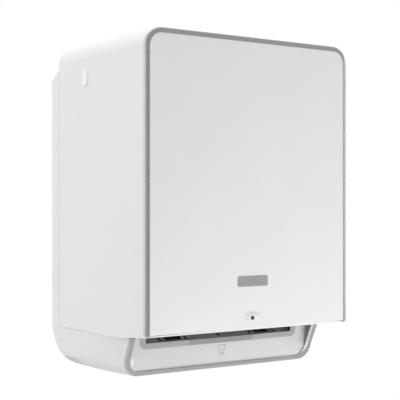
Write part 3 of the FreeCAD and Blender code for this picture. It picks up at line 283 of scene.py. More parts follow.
matt = {"skin": 2200.0, "relief": 0.06}
trim_grey = finish("trim_grey", (0.27, 0.274, 0.279), 0.42, mottle=0.02, skin=2200.0, relief=0.08)
# Painted light: the rim's grey turns paler on faces that turn sideways.
painted_side_light(trim_grey, (0.52, 0.52, 0.525))
# Painted shade: a dark grey for the pocket walls at the panel's ends, where shade falls.
painted_pocket_shade = finish("painted_pocket_shade", (0.27, 0.27, 0.272), 0.45, mottle=0.02, skin=2200.0, relief=0.08)
pale_grey = finish("pale_grey", (0.68, 0.695, 0.705), 0.45, mottle=0.012, **matt)
# Painted light: a near-white for inner walls of the rim and panel that sit in shade.
painted_wall_light = finish("painted_wall_light", (0.8, 0.8, 0.802), 0.45, mottle=0.02, **matt)
band_grey = finish("band_grey", (0.42, 0.42, 0.42), 0.42, **matt)
insert_grey = finish("insert_grey", (0.32, 0.32, 0.32), 0.4, **matt)
rim_low, rim_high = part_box("chin_rim")
panel_low, panel_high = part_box("chin_panel")
edge_margin = 0.001
scoop_half = panel_high.x - 0.0074
scoop_y = panel_high.y - 0.0025
corner_foot = panel_low.z + 0.012
corner_top = panel_low.z + 0.022
shade_reach = 0.010


def inward(place, facing):
    """Whether a face looks up or towards the middle, and not into the room."""
    return abs(facing.y) < 0.8 and (facing.z > 0.3 or facing.x * place.x < 0)


rim = dressed("chin_rim", trim_grey)
# Painted light on the rim's inner walls, against their shade.
repaint(rim, painted_wall_light, lambda place, facing: inward(place, facing) and place.z > rim_low.z + edge_margin
        and abs(place.x) < rim_high.x - edge_margin)
# Painted shade: the pale panel darkens towards its ends, above its foot.
painted_end_shade(pale_grey, (0.5, 0.505, 0.51), scoop_half - shade_reach, scoop_half, corner_foot, corner_top)
panel = dressed("chin_panel", pale_grey)
# Painted shade on the side walls of the pockets at the panel's ends.
repaint(panel, painted_pocket_shade, lambda place, facing: abs(facing.x) > 0.95
        and scoop_half < abs(place.x) < panel_high.x - edge_margin)
# Painted light on the panel's upward and inward walls near its foot, against their shade.
repaint(panel, painted_wall_light, lambda place, facing: inward(place, facing) and abs(facing.x) < 0.95
        and place.z < corner_top)
dressed("slot_frame", band_grey)
dressed("slot_insert", insert_grey, edge=0.0002)


# Towel sign
# A small printed sign in the middle of the panel: a bar for the slot, a sheet hanging from it and
# an arrow pointing down. It is flat ink, a twentieth of a millimetre thick.

ink_thickness = 0.00005
ink_grey = finish("ink_grey", (0.36, 0.38, 0.4), 0.5, mottle=0.03)


def stroke(shape, points, width, y, thickness):
    """Adds one line of ink along points (x, z), its face towards the room."""
    pairs = []
    for i, (x, z) in enumerate(points):
        before = points[max(i - 1, 0)]
        after = points[min(i + 1, len(points) - 1)]
        along = Vector((after[0] - before[0], after[1] - before[1])).normalized() * width / 2
        for side in (1, -1):
            pairs.append([shape.verts.new((x - side * along.y, y + deep, z + side * along.x))
                          for deep in (-thickness, 0.0)])
    for i in range(0, len(pairs) - 2, 2):
        (a, a_back), (b, b_back), (c, c_back), (d, d_back) = pairs[i:i + 4]
        for ring in ((a, b, d, c), (a_back, c_back, d_back, b_back), (a, c, c_back, a_back),
                     (b, b_back, d_back, d)):
            shape.faces.new(ring)
    for a, b in ((0, 1), (-1, -2)):
        shape.faces.new((pairs[a][0], pairs[a][1], pairs[b][1], pairs[b][0]))


def inked(name, strokes, width, y, material, body):
    """A flat sign made of strokes, on a body."""
    shape = bmesh.new()
    for points in strokes:
        stroke(shape, points, width, y, ink_thickness)
    bmesh.ops.recalc_face_normals(shape, faces=shape.faces)
    sign = shown(name, meshed(name, shape), material)
    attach(sign, body)


sign_top = panel_low.z + 0.0238
sign_height = 0.0150
sign_half = 0.0068
sign_line = 0.0008
sheet_half = 0.0038
sheet_wave = 0.0009
sheet_steps = 12
sheet_side = [(sheet_half + sheet_wave * math.sin(2 * math.pi * step / sheet_steps),
               sign_top - sign_height * step / sheet_steps) for step in range(sheet_steps + 1)]
arrow_top, arrow_tip, arrow_half = sign_top - 0.003, sign_top - 0.011, 0.0017
inked("towel_sign", [
    [(-sign_half, sign_top), (sign_half, sign_top)],
    sheet_side,
    [(-x, z) for x, z in sheet_side],
    [(0.0, arrow_top), (0.0, arrow_tip)],
    [(-arrow_half, arrow_tip + arrow_half), (0.0, arrow_tip)],
    [(arrow_half, arrow_tip + arrow_half), (0.0, arrow_tip)],
], sign_line, scoop_y, ink_grey, "housing")


# Feed module
# A black glass-filled frame of two side plates on a floor, held to the tray by four screws. It
# carries the slotted guide ramp, the rollers, the motor and the gears.

black_moulded = finish("black_moulded", (0.045, 0.045, 0.047), 0.5, mottle=0.1, skin=1800.0, relief=0.15)
ramp_grey = finish("ramp_grey", (0.5, 0.5, 0.503), 0.42, mottle=0.05, skin=1800.0, relief=0.1)
dressed("module_frame", black_moulded)
ramp = dressed("guide_ramp", ramp_grey)
ramp_low, ramp_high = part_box("guide_ramp")


def shaded_slot_walls(place, facing):
    """Whether a face is a wall of one of the ramp's slots or windows, which get painted shade."""
    inside = all(ramp_low[axis] + edge_margin < place[axis] < ramp_high[axis] - edge_margin
                 for axis in (0, 1))
    return inside and (abs(facing.x) > 0.9 or facing.y * facing.z > 0)


# Painted shade: the slot and window walls of the grey ramp are painted black.
repaint(ramp, black_moulded, shaded_slot_walls)


# Tear bar
# A strip of stainless steel, punched with pointed teeth along its lower edge, bright from rolling
# along its length and fixed behind the upper edge of the slot.

rolled_steel = finish("rolled_steel", (0.62, 0.62, 0.61), 0.3, mottle=0.05, cloud=60.0, skin=900.0,
                      relief=0.1, stretch=(0.05, 1.0, 1.0), metallic=1.0)
turned_steel = finish("turned_steel", (0.6, 0.6, 0.59), 0.28, mottle=0.04, cloud=80.0, skin=1500.0,
                      relief=0.06, metallic=1.0)
dressed("tear_bar", rolled_steel)


# Screws
# Zinc-plated pan heads with a cross recess. Those of the module stand upright in the tray's bosses,
# those of the roll holders go into the back wall, and two small ones hold the motor.

def tree_with(name, sizes):
    """A Geometry Nodes tree with named inputs, and its input and output nodes."""
    tree = bpy.data.node_groups.new(name, "GeometryNodeTree")
    tree.interface.new_socket("Geometry", in_out="INPUT", socket_type="NodeSocketGeometry")
    for label, kind in sizes.items():
        tree.interface.new_socket(label, in_out="INPUT", socket_type="NodeSocket" + kind)
    tree.interface.new_socket("Geometry", in_out="OUTPUT", socket_type="NodeSocketGeometry")
    return tree, put(tree, "NodeGroupInput"), put(tree, "NodeGroupOutput")


def grown(name, tree, sizes, start=None):
    """The plain mesh that a tree makes with these sizes, as a piece."""
    piece = bpy.data.objects.new(name, start or bpy.data.meshes.new(name))
    bpy.context.collection.objects.link(piece)
    modifier = piece.modifiers.new(tree.name, "NODES")
    modifier.node_group = tree
    for socket in tree.interface.items_tree:
        if socket.in_out == "INPUT" and socket.name in sizes:
            modifier[socket.identifier] = sizes[socket.name]
    return flattened(piece)


def closing(tree, group_in, group_out, geometry):
    """Ends a tree in real faces of one material."""
    real = put(tree, "GeometryNodeRealizeInstances", {"Geometry": geometry})
    painted = put(tree, "GeometryNodeSetMaterial", {"Geometry": real.outputs[0],
                                                    "Material": group_in.outputs["Material"]})
    tree.links.new(painted.outputs[0], group_out.inputs[0])


screw_tree, screw_in, screw_out = tree_with("screw_set", {
    "Screw": "Object", "Turn": "Rotation", "Material": "Material"})
screw_shape = put(screw_tree, "GeometryNodeObjectInfo", {"Object": screw_in.outputs["Screw"]})
screw_places = put(screw_tree, "GeometryNodeInstanceOnPoints", {
    "Points": screw_in.outputs["Geometry"], "Instance": screw_shape.outputs["Geometry"],
    "Rotation": screw_in.outputs["Turn"]})
closing(screw_tree, screw_in, screw_out, screw_places.outputs[0])


screw_sides = 24


def screw_pattern(name, radius, shank, head_height, length):
    """One pan-head screw along -Z with its head's underside at zero and a cross recess."""
    profile = [(0.0, head_height), (radius * 0.55, head_height * 0.97), (radius * 0.85, head_height * 0.7),
               (radius, head_height * 0.25), (radius, 0.0),
               (shank, 0.0), (shank, -length * 0.9), (0.0, -length)]
    shape = bmesh.new()
    line = [shape.verts.new((x, 0.0, z)) for x, z in profile]
    edges = [shape.edges.new(pair) for pair in zip(line, line[1:])]
    bmesh.ops.spin(shape, geom=line + edges, cent=(0, 0, 0), axis=(0, 0, 1), angle=2 * math.pi,
                   steps=screw_sides)
    bmesh.ops.remove_doubles(shape, verts=shape.verts, dist=weld)
    bmesh.ops.recalc_face_normals(shape, faces=shape.faces)
    cross = bmesh.new()
    for long_x, long_y in ((1.1, 0.26), (0.26, 1.1)):
        size = Matrix.Diagonal((radius * long_x, radius * long_y, head_height, 1.0))
        bmesh.ops.create_cube(cross, size=1.0, matrix=Matrix.Translation((0, 0, head_height)) @ size)
    cutter = bpy.data.objects.new(name + "_cross", meshed(name + "_cross", cross))
    screw = bpy.data.objects.new(name, meshed(name, shape))
    for thing in (cutter, screw):
        bpy.context.collection.objects.link(thing)
    cut = screw.modifiers.new("cross_recess", "BOOLEAN")
    cut.object = cutter
    cut.operation = "DIFFERENCE"
    cut.use_self = True
    flattened(screw)
    bpy.data.objects.remove(cutter)
    return screw


def solids_of(node):
    """Boxes (lowest, highest) of the separate solids in a node, in order of x, then y."""
    whole = joined(frame["nodes"][node].data)
    waiting = set(whole.verts)
    boxes = []
    while waiting:
        cluster = [waiting.pop()]
        for vert in cluster:
            for edge in vert.link_edges:
                other = edge.other_vert(vert)
                if other in waiting:
                    waiting.remove(other)
                    cluster.append(other)
        low = Vector([min(v.co[axis] for v in cluster) for axis in range(3)])
        high = Vector([max(v.co[axis] for v in cluster) for axis in range(3)])
        boxes.append((low, high))
    whole.free()
    return sorted(boxes, key=lambda ends: (round(ends[0].x, 4), round(ends[0].y, 4), round(ends[0].z, 4)))


zinc = finish("zinc_plate", (0.6, 0.6, 0.57), 0.35, mottle=0.06, cloud=120.0, metallic=1.0)
# Each set: its node, the axis and way of its heads, the shank's radius, the head's height and turn.
screw_sets = (("module_screws", 2, 1, 0.002, 0.0024, (0.0, 0.0, 0.4)),
              ("arm_screws", 1, -1, 0.002, 0.0022, (math.pi / 2, 0.3, 0.0)),
              ("motor_screws", 0, -1, 0.0015, 0.0018, (0.0, -math.pi / 2, 0.2)))
for node, axis, way, shank, head_height, turn in screw_sets:
    solids = solids_of(node)
    first_size = solids[0][1] - solids[0][0]
    across = 2 if axis == 0 else 0
    screw = screw_pattern(node[:-1], first_size[across] / 2, shank, head_height,
                          first_size[axis] - head_height)
    places = [(low + high) / 2 for low, high in solids]
    for place, (low, high) in zip(places, solids):
        place[axis] = (high if way > 0 else low)[axis] - way * head_height
    points = bpy.data.meshes.new(node + "_places")
    points.from_pydata(places, [], [])
    heads = grown(node + "_heads", screw_tree, {"Screw": screw, "Turn": turn, "Material": zinc}, points)
    settle(smoothed(heads, 35.0), node)
    bpy.data.objects.remove(screw)


# Rollers
# A steel shaft carries two black cores with rubber tyres, ground with fine teeth so that they bite
# the towel. A sprung carrier above presses a thinner pair of tyres on them.

black_rubber = finish("black_rubber", (0.018, 0.018, 0.018), 0.75, mottle=0.2, cloud=300.0, skin=2600.0,
                      relief=0.3)
acetal = finish("acetal", (0.78, 0.76, 0.69), 0.38, mottle=0.02, coat=0.1)
for node, material in (("feed_shaft", turned_steel), ("pinch_shaft", turned_steel),
                       ("feed_cores", black_moulded), ("feed_tyres", black_rubber),
                       ("pinch_tyres", black_rubber), ("pinch_carrier", black_moulded),
                       ("shaft_bushes", acetal)):
    dressed(node, material)

ring_tree, ring_in, ring_out = tree_with("ring_of_ribs", {
    "Count": "Int", "Radius": "Float", "Rib": "Vector", "Centre": "Vector", "Material": "Material"})
ring_points = put(ring_tree, "GeometryNodeMeshCircle", {"Vertices": ring_in.outputs["Count"],
                                                        "Radius": ring_in.outputs["Radius"]})
rib_shape = put(ring_tree, "GeometryNodeMeshCube", {"Size": ring_in.outputs["Rib"]})
rib_index = put(ring_tree, "GeometryNodeInputIndex")
rib_share = put(ring_tree, "ShaderNodeMath", {0: rib_index.outputs[0], 1: ring_in.outputs["Count"]},
                operation="DIVIDE")
rib_angle = put(ring_tree, "ShaderNodeMath", {0: rib_share.outputs[0], 1: 2 * math.pi}, operation="MULTIPLY")
rib_turn = put(ring_tree, "ShaderNodeCombineXYZ", {"Z": rib_angle.outputs[0]})
ribs = put(ring_tree, "GeometryNodeInstanceOnPoints", {
    "Points": ring_points.outputs["Mesh"], "Instance": rib_shape.outputs["Mesh"],
    "Rotation": rib_turn.outputs[0]})
ribs_placed = put(ring_tree, "GeometryNodeTransform", {
    "Geometry": ribs.outputs[0], "Rotation": (0.0, math.pi / 2, 0.0),
    "Translation": ring_in.outputs["Centre"]})
closing(ring_tree, ring_in, ring_out, ribs_placed.outputs[0])


def ringed(name, body, count, radius, rib, centre, material):
    """Ribs round an axis along X; rib is (radial, round, along) in metres."""
    piece = grown(name, ring_tree, {"Count": count, "Radius": radius, "Rib": rib, "Centre": centre,
                                    "Material": material})
    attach(piece, body)


tooth_stand, tooth_width = 0.0008, 0.0005
tooth_sink = 0.0003
tyre_shoulder = 0.003
for node, body, count in (("feed_tyres", "feed_roller", 60), ("pinch_tyres", "pinch_roller", 36)):
    for side, (low, high) in zip(("left", "right"), solids_of(node)):
        ringed(node + "_teeth_" + side, body, count, (high.z - low.z) / 2 - tooth_sink,
               (tooth_stand, tooth_width, high.x - low.x - 2 * tyre_shoulder), (low + high) / 2, black_rubber)


# Springs
# Hard-drawn steel wire, coiled: two press the carrier down, one closes the right roll holder, and
# one returns each latch button.

spring_tree, spring_in, spring_out = tree_with("wire_coil", {
    "Turns": "Float", "Radius": "Float", "Wire": "Float", "Length": "Float", "Centre": "Vector",
    "Turn": "Rotation", "Material": "Material"})
spring_path = put(spring_tree, "GeometryNodeCurveSpiral", {
    "Resolution": 28, "Rotations": spring_in.outputs["Turns"], "Start Radius": spring_in.outputs["Radius"],
    "End Radius": spring_in.outputs["Radius"], "Height": spring_in.outputs["Length"]})
spring_section = put(spring_tree, "GeometryNodeCurvePrimitiveCircle", {"Resolution": 10,
                                                                       "Radius": spring_in.outputs["Wire"]})
spring_wire = put(spring_tree, "GeometryNodeCurveToMesh", {
    "Curve": spring_path.outputs[0], "Profile Curve": spring_section.outputs[0], "Fill Caps": True})
spring_smooth = put(spring_tree, "GeometryNodeSetShadeSmooth", {"Geometry": spring_wire.outputs[0]})
spring_placed = put(spring_tree, "GeometryNodeTransform", {
    "Geometry": spring_smooth.outputs[0], "Rotation": spring_in.outputs["Turn"],
    "Translation": spring_in.outputs["Centre"]})
closing(spring_tree, spring_in, spring_out, spring_placed.outputs[0])

spring_steel = finish("spring_steel", (0.5, 0.5, 0.5), 0.3, mottle=0.05, cloud=200.0, metallic=1.0)


def coiled(name, node, ends, axis, wire, turns):
    """A coil between the ends of the plain spring that it stands for, along one axis."""
    low, high = ends
    across = 0 if axis == 2 else 2
    base = (low + high) / 2
    base[axis] = low[axis] + wire
    piece = grown(name, spring_tree, {
        "Turns": turns, "Radius": (high[across] - low[across]) / 2 - wire, "Wire": wire,
        "Length": high[axis] - low[axis] - 2 * wire, "Centre": base,
        "Turn": (0.0, 0.0 if axis == 2 else math.pi / 2, 0.0), "Material": spring_steel})
    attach(piece, body_of_node[node])
    return piece


pinch_wire, pinch_turns, pinch_keep = 0.00055, 6.0, 0.8
for side, (low, high) in zip(("left", "right"), solids_of("pinch_springs")):
    coil = coiled("pinch_coil_" + side, "pinch_springs", (low, high), 2, pinch_wire, pinch_turns)
    top = (*((low + high) / 2).xy, high.z)
    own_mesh(coil)
    if side == "left":
        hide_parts("pinch_springs")

arm_wire, arm_turns = 0.0005, 6.0
arm_coil = coiled("arm_coil", "arm_spring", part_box("arm_spring"), 2, arm_wire, arm_turns)
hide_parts("arm_spring")

latch_wire, latch_turns, latch_keep = 0.00035, 3.0, 0.08
for side, (low, high) in zip(("left", "right"), solids_of("latch_springs")):
    coil = coiled("latch_coil_" + side, "latch_springs", (low, high), 0, latch_wire, latch_turns)
    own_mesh(coil)
    if side == "left":
        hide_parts("latch_springs")


# Gears and motor
# Acetal spur gears step the motor down to the feed roller. The motor is a plated can with a gearbox
# and a flange, and the idler turns on a steel axle.

for node in ("feed_gear", "idler_gear", "motor_pinion"):
    dressed(node, acetal)
for node in ("motor_shaft", "idler_axle"):
    dressed(node, turned_steel)
dressed("gear_motor", zinc)


# Sensor
# A small green board behind the lens carries the detector and its plug. A black moulded tube
# between the board and the lens keeps stray light out.

solder_mask = finish("solder_mask", (0.02, 0.16, 0.06), 0.3, mottle=0.15, cloud=400.0, skin=900.0, relief=0.1,
                     coat=0.4)
black_gloss = finish("black_gloss", (0.012, 0.012, 0.014), 0.15, mottle=0.1, coat=0.5)
dressed("sensor_board", solder_mask)
dressed("sensor_tube", black_moulded)

block_tree, block_in, block_out = tree_with("small_blocks", {"Size": "Vector", "Material": "Material"})
block_shape = put(block_tree, "GeometryNodeMeshCube", {"Size": block_in.outputs["Size"]})
blocks_placed = put(block_tree, "GeometryNodeInstanceOnPoints", {"Points": block_in.outputs["Geometry"],
                                                                 "Instance": block_shape.outputs["Mesh"]})
closing(block_tree, block_in, block_out, blocks_placed.outputs[0])


block_stand = 0.45


def soldered(name, node, places, size, material):
    """Small components on the front of a board; places are (x, z) from its middle."""
    board_low, board_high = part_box(node)
    middle_x, middle_z = (board_low.x + board_high.x) / 2, (board_low.z + board_high.z) / 2
    points = bpy.data.meshes.new(name + "_places")
    proud = size[1] * block_stand
    points.from_pydata([(middle_x + x, board_low.y - proud, middle_z + z) for x, z in places], [], [])
    piece = grown(name, block_tree, {"Size": size, "Material": material}, points)
    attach(piece, body_of_node[node])


ceramic = finish("ceramic", (0.42, 0.3, 0.2), 0.45, mottle=0.05)
row_start, row_pitch, resistor_z, capacitor_z = -0.0128, 0.0022, 0.0064, 0.0034
plug_x, plug_z, pin_pitch, pin_z = 0.0092, -0.0058, 0.0018, -0.0034
soldered("sensor_resistors", "sensor_board", [(row_start + row_pitch * i, resistor_z) for i in range(4)],
         (0.0008, 0.0006, 0.0016), black_gloss)
soldered("sensor_capacitors", "sensor_board", [(row_start + row_pitch * i, capacitor_z) for i in range(3)],
         (0.0012, 0.0009, 0.0016), ceramic)
soldered("sensor_chip", "sensor_board", [(0.0102, 0.0042)], (0.0050, 0.0010, 0.0050), black_gloss)
soldered("sensor_plug", "sensor_board", [(plug_x, plug_z)], (0.0078, 0.0040, 0.0036), acetal)
soldered("sensor_plug_pins", "sensor_board", [(plug_x + pin_pitch * i, pin_z) for i in (-1, 0, 1)],
         (0.0006, 0.0012, 0.0018), turned_steel)


# Roll holders
# Two grey arms on feet screwed to the back. A blue hub turns on a stub at each arm's end, and the
# roll's core slips over the hubs. The right arm swings out on a pin against its coil.

inner_grey = finish("inner_grey", (0.24, 0.245, 0.25), 0.45, mottle=0.02, skin=2000.0, relief=0.12)
hub_blue = finish("hub_blue", (0.06, 0.19, 0.38), 0.38, mottle=0.03, coat=0.1)
for node in ("roll_arm_left", "roll_arm_right", "arm_bracket"):
    dressed(node, inner_grey)
dressed("arm_pivot_pin", turned_steel)
plug_length = 0.0106
flange_thickness = 0.003
grips, grip_radius, grip_size = 8, 0.0186, (0.0016, 0.0016, plug_length)
spokes, spoke_radius, spoke_size = 12, 0.0231, (0.0066, 0.0012, 0.0014)
for side, inwards in (("left", 1), ("right", -1)):
    hub = "hub_" + side
    dressed(hub, hub_blue)
    hub_low, hub_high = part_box(hub)
    outer_face = Vector((hub_low.x if side == "left" else hub_high.x, *((hub_low + hub_high) / 2).yz))
    flange_middle = outer_face + Vector((inwards * flange_thickness, 0, 0))
    plug_middle = flange_middle + Vector((inwards * plug_length / 2, 0, 0))
    body, slot = body_of_node[hub], slot_of_node[hub]
    ringed(hub + "_grips", body, grips, grip_radius, grip_size, plug_middle, hub_blue)
    ringed(hub + "_spokes", body, spokes, spoke_radius, spoke_size, flange_middle, hub_blue)


# Battery box
# A grey box on the left inner wall holds four large cells in two columns, under a hinged door. Each
# cell is a steel can in a printed sleeve, which is left plain here.

cell_sleeve = finish("cell_sleeve", (0.05, 0.055, 0.06), 0.3, mottle=0.05, coat=0.5)
dressed("battery_box", inner_grey)
dressed("battery_door", inner_grey)
dressed("battery_door_pin", turned_steel)
dressed("battery_cells", cell_sleeve)
dressed("battery_contacts", rolled_steel)

door_low, door_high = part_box("battery_door")
mark_x, mark_z = (door_low.x + door_high.x) / 2, door_high.z - 0.018
cell_half, cell_top = 0.003, 0.0055
cap_half, cap_top = 0.0012, 0.0066
sign_arm, plus_z, minus_z = 0.0013, 0.0028, -0.003
grip_stand = 0.0015
cell_line = 0.0005
cell_marks = [[(-cell_half, cell_top), (cell_half, cell_top), (cell_half, -cell_top), (-cell_half, -cell_top),
               (-cell_half, cell_top)],
              [(-cap_half, cap_top), (cap_half, cap_top)],
              [(-sign_arm, plus_z), (sign_arm, plus_z)],
              [(0.0, plus_z + sign_arm), (0.0, plus_z - sign_arm)],
              [(-sign_arm, minus_z), (sign_arm, minus_z)]]
inked("cell_marks", [[(mark_x + x, mark_z + z) for x, z in points] for points in cell_marks], cell_line,
      door_low.y + grip_stand, ink_grey, body_of_node["battery_door"])


# Controls
# A grey box on the right inner wall holds the circuit board, with a blue button that feeds a length
# of towel and two black slide switches for length and delay.

switch_black = finish("switch_black", (0.02, 0.02, 0.02), 0.4, mottle=0.1)
dressed("control_box", inner_grey)
dressed("circuit_board", solder_mask)
dressed("feed_button", hub_blue)
dressed("length_switch", switch_black, edge=0.0002)
dressed("delay_switch", switch_black, edge=0.0002)

pale_ink = finish("pale_ink", (0.7, 0.7, 0.7), 0.5, mottle=0.02)
control_low, control_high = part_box("control_box")
control_x = (control_low.x + control_high.x) / 2
button_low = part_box("feed_button")[0]
arrow_start, arrow_end, barb = button_low.z - 0.0015, button_low.z - 0.006, 0.002
control_marks = [[(control_x, arrow_start), (control_x, arrow_end)],
                 [(control_x - barb, arrow_end + barb), (control_x, arrow_end),
                  (control_x + barb, arrow_end + barb)]]
mark_side, mark_half, short_mark = 0.0095, 0.0012, 0.0018
for node, tall_mark in (("length_switch", 0.0045), ("delay_switch", 0.0025)):
    knob_low, knob_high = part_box(node)
    knob_z = (knob_low.z + knob_high.z) / 2
    for sign_x, height in ((-1, short_mark), (1, tall_mark)):
        left, right = (control_x + sign_x * mark_side + half for half in (-mark_half, mark_half))
        top, foot = knob_z + height / 2, knob_z - height / 2
        control_marks.append([(left, top), (right, top), (right, foot), (left, foot), (left, top)])
control_line = 0.0004
inked("control_marks", control_marks, control_line, control_low.y, pale_ink, body_of_node["control_box"])


# Cover
# One white moulding makes the sides, the top and an inner front wall. It swings down on two steel
# pins, and a push button on each side releases it.

white_gloss = finish("white_gloss", (0.815, 0.815, 0.817), 0.32, mottle=0.008, coat=0.15)
# The buttons' own white, painted lighter than the cover's to stand for the light on their rounded faces.
button_white = finish("button_white", (0.92, 0.922, 0.925), 0.3, mottle=0.008, coat=0.2)
dressed("cover_shell", white_gloss)
for pair, material in (("hinge_pin_", turned_steel), ("latch_button_", button_white)):
    for side in ("left", "right"):
        dressed(pair + side, material)
dressed("latch_retainers", inner_grey)


# Front
# The grey bezel is a trim of satin ABS. The white faceplate inside it is a thin moulding that snaps
# on to the cover, with a dark lens for the sensor pushed in from behind.

fade_start, fade_end = 0.36, 1.15
roll_height = 0.003
roll_power = 2.0
face_low, face_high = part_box("faceplate")
bezel_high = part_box("bezel")[1]


def rolled_with_painted_sheen(material, colour):
    """Bends each upright strip's normals as a roll that falls off towards the cabinet's side, and pales its
    colour there as painted light.
    """
    tree = material.node_tree
    shader = tree.nodes["Principled BSDF"]
    side = put(tree, "ShaderNodeMath", {0: axes_of(tree, "Object")["X"]}, operation="ABSOLUTE")
    share = put(tree, "ShaderNodeMapRange", {"Value": side.outputs[0], "From Min": face_high.x,
                                             "From Max": bezel_high.x})
    fall = put(tree, "ShaderNodeMath", {0: share.outputs[0], 1: roll_power}, operation="POWER")
    height = put(tree, "ShaderNodeMath", {0: 1.0, 1: fall.outputs[0]}, operation="SUBTRACT")
    grained = shader.inputs["Normal"].links[0].from_socket
    rolled = put(tree, "ShaderNodeBump", {"Strength": 1.0, "Distance": roll_height,
                                          "Height": height.outputs[0], "Normal": grained})
    tree.links.new(rolled.outputs["Normal"], shader.inputs["Normal"])
    fade = put(tree, "ShaderNodeMapRange", {"Value": share.outputs[0], "From Min": fade_start,
                                            "From Max": fade_end}, interpolation_type="SMOOTHSTEP")
    blended(material, colour, fade.outputs[0])


bezel_grey = finish("bezel_grey", (0.245, 0.245, 0.247), 0.3, mottle=0.02, skin=2200.0, relief=0.05, coat=1.0)
# Painted light: the bezel's grey pales towards its outer edge and on its side-facing round.
rolled_with_painted_sheen(bezel_grey, (0.42, 0.42, 0.422))
painted_side_light(bezel_grey, (0.62, 0.62, 0.622))
dressed("bezel", bezel_grey)
face_white = finish("face_white", (0.775, 0.775, 0.777), 0.32, mottle=0.008, coat=0.15)
dressed("faceplate", face_white)
dressed("sensor_lens", black_gloss)


# Badge
# A small plain plate of grey metal with rounded corners, brushed along its length and stuck on
# the faceplate. Its edge is eased all round.

badge_metal = finish("badge_metal", (0.3, 0.3, 0.305), 0.42, mottle=0.05, cloud=90.0, skin=1500.0,
                     relief=0.08, stretch=(0.04, 1.0, 1.0), metallic=0.2)
badge_half_width = 0.0235
badge_half_height = 0.0065
badge_corner = 0.0025
badge_thickness = 0.0007
badge_edge = 0.0003
badge_rise = 0.0458
corner_steps = 6
lens_low, lens_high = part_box("sensor_lens")
lens_z = (lens_low.z + lens_high.z) / 2
badge_z = lens_z + badge_rise
outline = []
for corner, (side_x, side_z) in enumerate(((1, 1), (-1, 1), (-1, -1), (1, -1))):
    for step in range(corner_steps + 1):
        angle = math.pi / 2 * (corner + step / corner_steps)
        outline.append((side_x * (badge_half_width - badge_corner) + badge_corner * math.cos(angle),
                        side_z * (badge_half_height - badge_corner) + badge_corner * math.sin(angle)))
plate = bmesh.new()
rings = []
for deep, inset in ((0.0, 0.0), (badge_thickness - badge_edge, 0.0), (badge_thickness, badge_edge)):
    shrink_x = 1 - inset / badge_half_width
    shrink_z = 1 - inset / badge_half_height
    rings.append([plate.verts.new((x * shrink_x, face_low.y - deep, badge_z + z * shrink_z))
                  for x, z in outline])
for inner, outer in zip(rings, rings[1:]):
    for i in range(len(outline)):
        j = (i + 1) % len(outline)
        plate.faces.new((inner[i], inner[j], outer[j], outer[i]))
plate.faces.new(rings[0])
plate.faces.new(rings[-1])
bmesh.ops.recalc_face_normals(plate, faces=plate.faces)
badge = smoothed(shown("badge_plate", meshed("badge_plate", plate), badge_metal), 30.0)
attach(badge, "cover")


# Sensor mark
# Two arcs over the lens and a dash beside it show where to wave a hand. They are flat grey ink,
# printed on the faceplate.

mark_ink = finish("mark_ink", (0.56, 0.57, 0.58), 0.5, mottle=0.03)
mark_line = 0.0006
mark_steps = 16
mark_reach = math.radians(66)
dash_start, dash_end, dash_drop = -0.0115, -0.0055, 0.001
angles = [mark_reach * (2 * step / mark_steps - 1) for step in range(mark_steps + 1)]
mark_strokes = [[(half_width * math.sin(angle), lens_z + half_height * math.cos(angle)) for angle in angles]
                for half_width, half_height in ((0.0125, 0.0072), (0.0085, 0.0048))]
mark_strokes.append([(dash_start, lens_z - dash_drop), (dash_end, lens_z - dash_drop)])
inked("sensor_mark", mark_strokes, mark_line, face_low.y, mark_ink, "cover")


# Studio
# A pale floor lies far below, as under a dispenser on a wall, with a white surround. Large soft
# lamps stand over it, low in front, and on both sides.

def seen_rays(tree):
    """One for the rays that see the backdrop straight, in a gloss or through glass, and else zero."""
    path = put(tree, "ShaderNodeLightPath")
    straight = put(tree, "ShaderNodeMath", {0: path.outputs["Is Camera Ray"],
                                            1: path.outputs["Is Glossy Ray"]}, operation="MAXIMUM")
    return put(tree, "ShaderNodeMath", {0: straight.outputs[0], 1: path.outputs["Is Transmission Ray"]},
               operation="MAXIMUM").outputs[0]


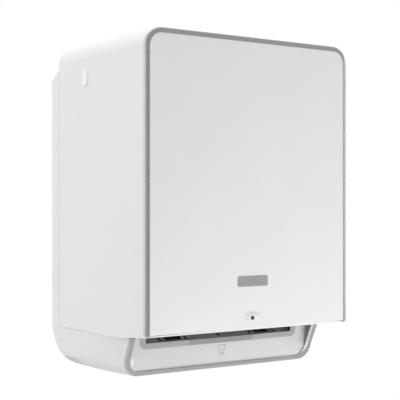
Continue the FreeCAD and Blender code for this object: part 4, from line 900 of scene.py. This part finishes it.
floor_paint = finish("floor_paint", (0.86, 0.86, 0.86), 0.8, mottle=0.01, cloud=1.5, skin=60.0, relief=0.02)
floor_glow = 0.6
paint = floor_paint.node_tree
glow_share = put(paint, "ShaderNodeMath", {0: seen_rays(paint), 1: floor_glow}, operation="MULTIPLY")
white_light = put(paint, "ShaderNodeEmission", {"Color": (1, 1, 1, 1), "Strength": 1.0})
paled = put(paint, "ShaderNodeMixShader", {0: glow_share.outputs[0],
                                           1: paint.nodes["Principled BSDF"].outputs[0],
                                           2: white_light.outputs[0]})
paint.links.new(paled.outputs[0], paint.nodes["Material Output"].inputs["Surface"])
floor_drop = 1.0
floor_half = 2.6
floor_z = cad_low.z - floor_drop
floor_mesh = bpy.data.meshes.new("floor")
floor_corners = ((-1, -1), (1, -1), (1, 1), (-1, 1))
floor_mesh.from_pydata([(x * floor_half, y * floor_half, floor_z) for x, y in floor_corners], [],
                       [(0, 1, 2, 3)])
shown("floor", floor_mesh, floor_paint)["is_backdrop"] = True

world = bpy.data.worlds.new("studio")
world.use_nodes = True
bpy.context.scene.world = world
sky = world.node_tree
sky.nodes.clear()
surround_strength = 0.58
surround = put(sky, "ShaderNodeBackground", {"Color": (1, 1, 1, 1), "Strength": surround_strength})
backdrop = put(sky, "ShaderNodeBackground", {"Color": (1, 1, 1, 1), "Strength": 1.0})
either = put(sky, "ShaderNodeMixShader", {0: seen_rays(sky), 1: surround.outputs[0], 2: backdrop.outputs[0]})
put(sky, "ShaderNodeOutputWorld", {"Surface": either.outputs[0]})


def softbox(name, place, aim, width, height, power):
    """A large soft lamp at a place, turned towards its aim."""
    lamp = bpy.data.lights.new(name, "AREA")
    lamp.shape = "RECTANGLE"
    lamp.size = width
    lamp.size_y = height
    lamp.energy = power
    holder = bpy.data.objects.new(name, lamp)
    bpy.context.collection.objects.link(holder)
    holder.location = place
    holder.rotation_euler = (Vector(aim) - Vector(place)).to_track_quat("-Z", "Y").to_euler()


middle = (cad_low + cad_high) / 2
softbox("lamp_over", (-0.2, 0.0, 1.6), middle, 1.6, 1.6, 13.0)
softbox("lamp_low", (0.3, -0.95, -0.75), (0.05, -0.2, -0.12), 0.6, 0.6, 5.6)
softbox("lamp_left", (-2.0, 0.4, 0.3), middle, 1.4, 1.4, 11.5)
softbox("lamp_right", (1.8, -0.36, 0.1), middle, 1.0, 1.0, 12.0)


# Camera
# It stands level with the middle of the cabinet, to the left of its front and about a metre and a
# half from it, with a long lens.

camera_data = bpy.data.cameras.new("camera")
camera_data.lens = 95.6
camera_data.sensor_width = 36.0
camera_data.shift_x = -0.00125
camera_data.shift_y = 0.015
camera = bpy.data.objects.new("camera", camera_data)
camera.location = (-0.811, -1.277, -0.031)
camera.rotation_euler = (math.pi / 2, 0.0, math.radians(-35.03))
bpy.context.collection.objects.link(camera)
bpy.context.scene.camera = camera
bpy.context.scene.view_settings.view_transform = "Standard"

low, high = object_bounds()
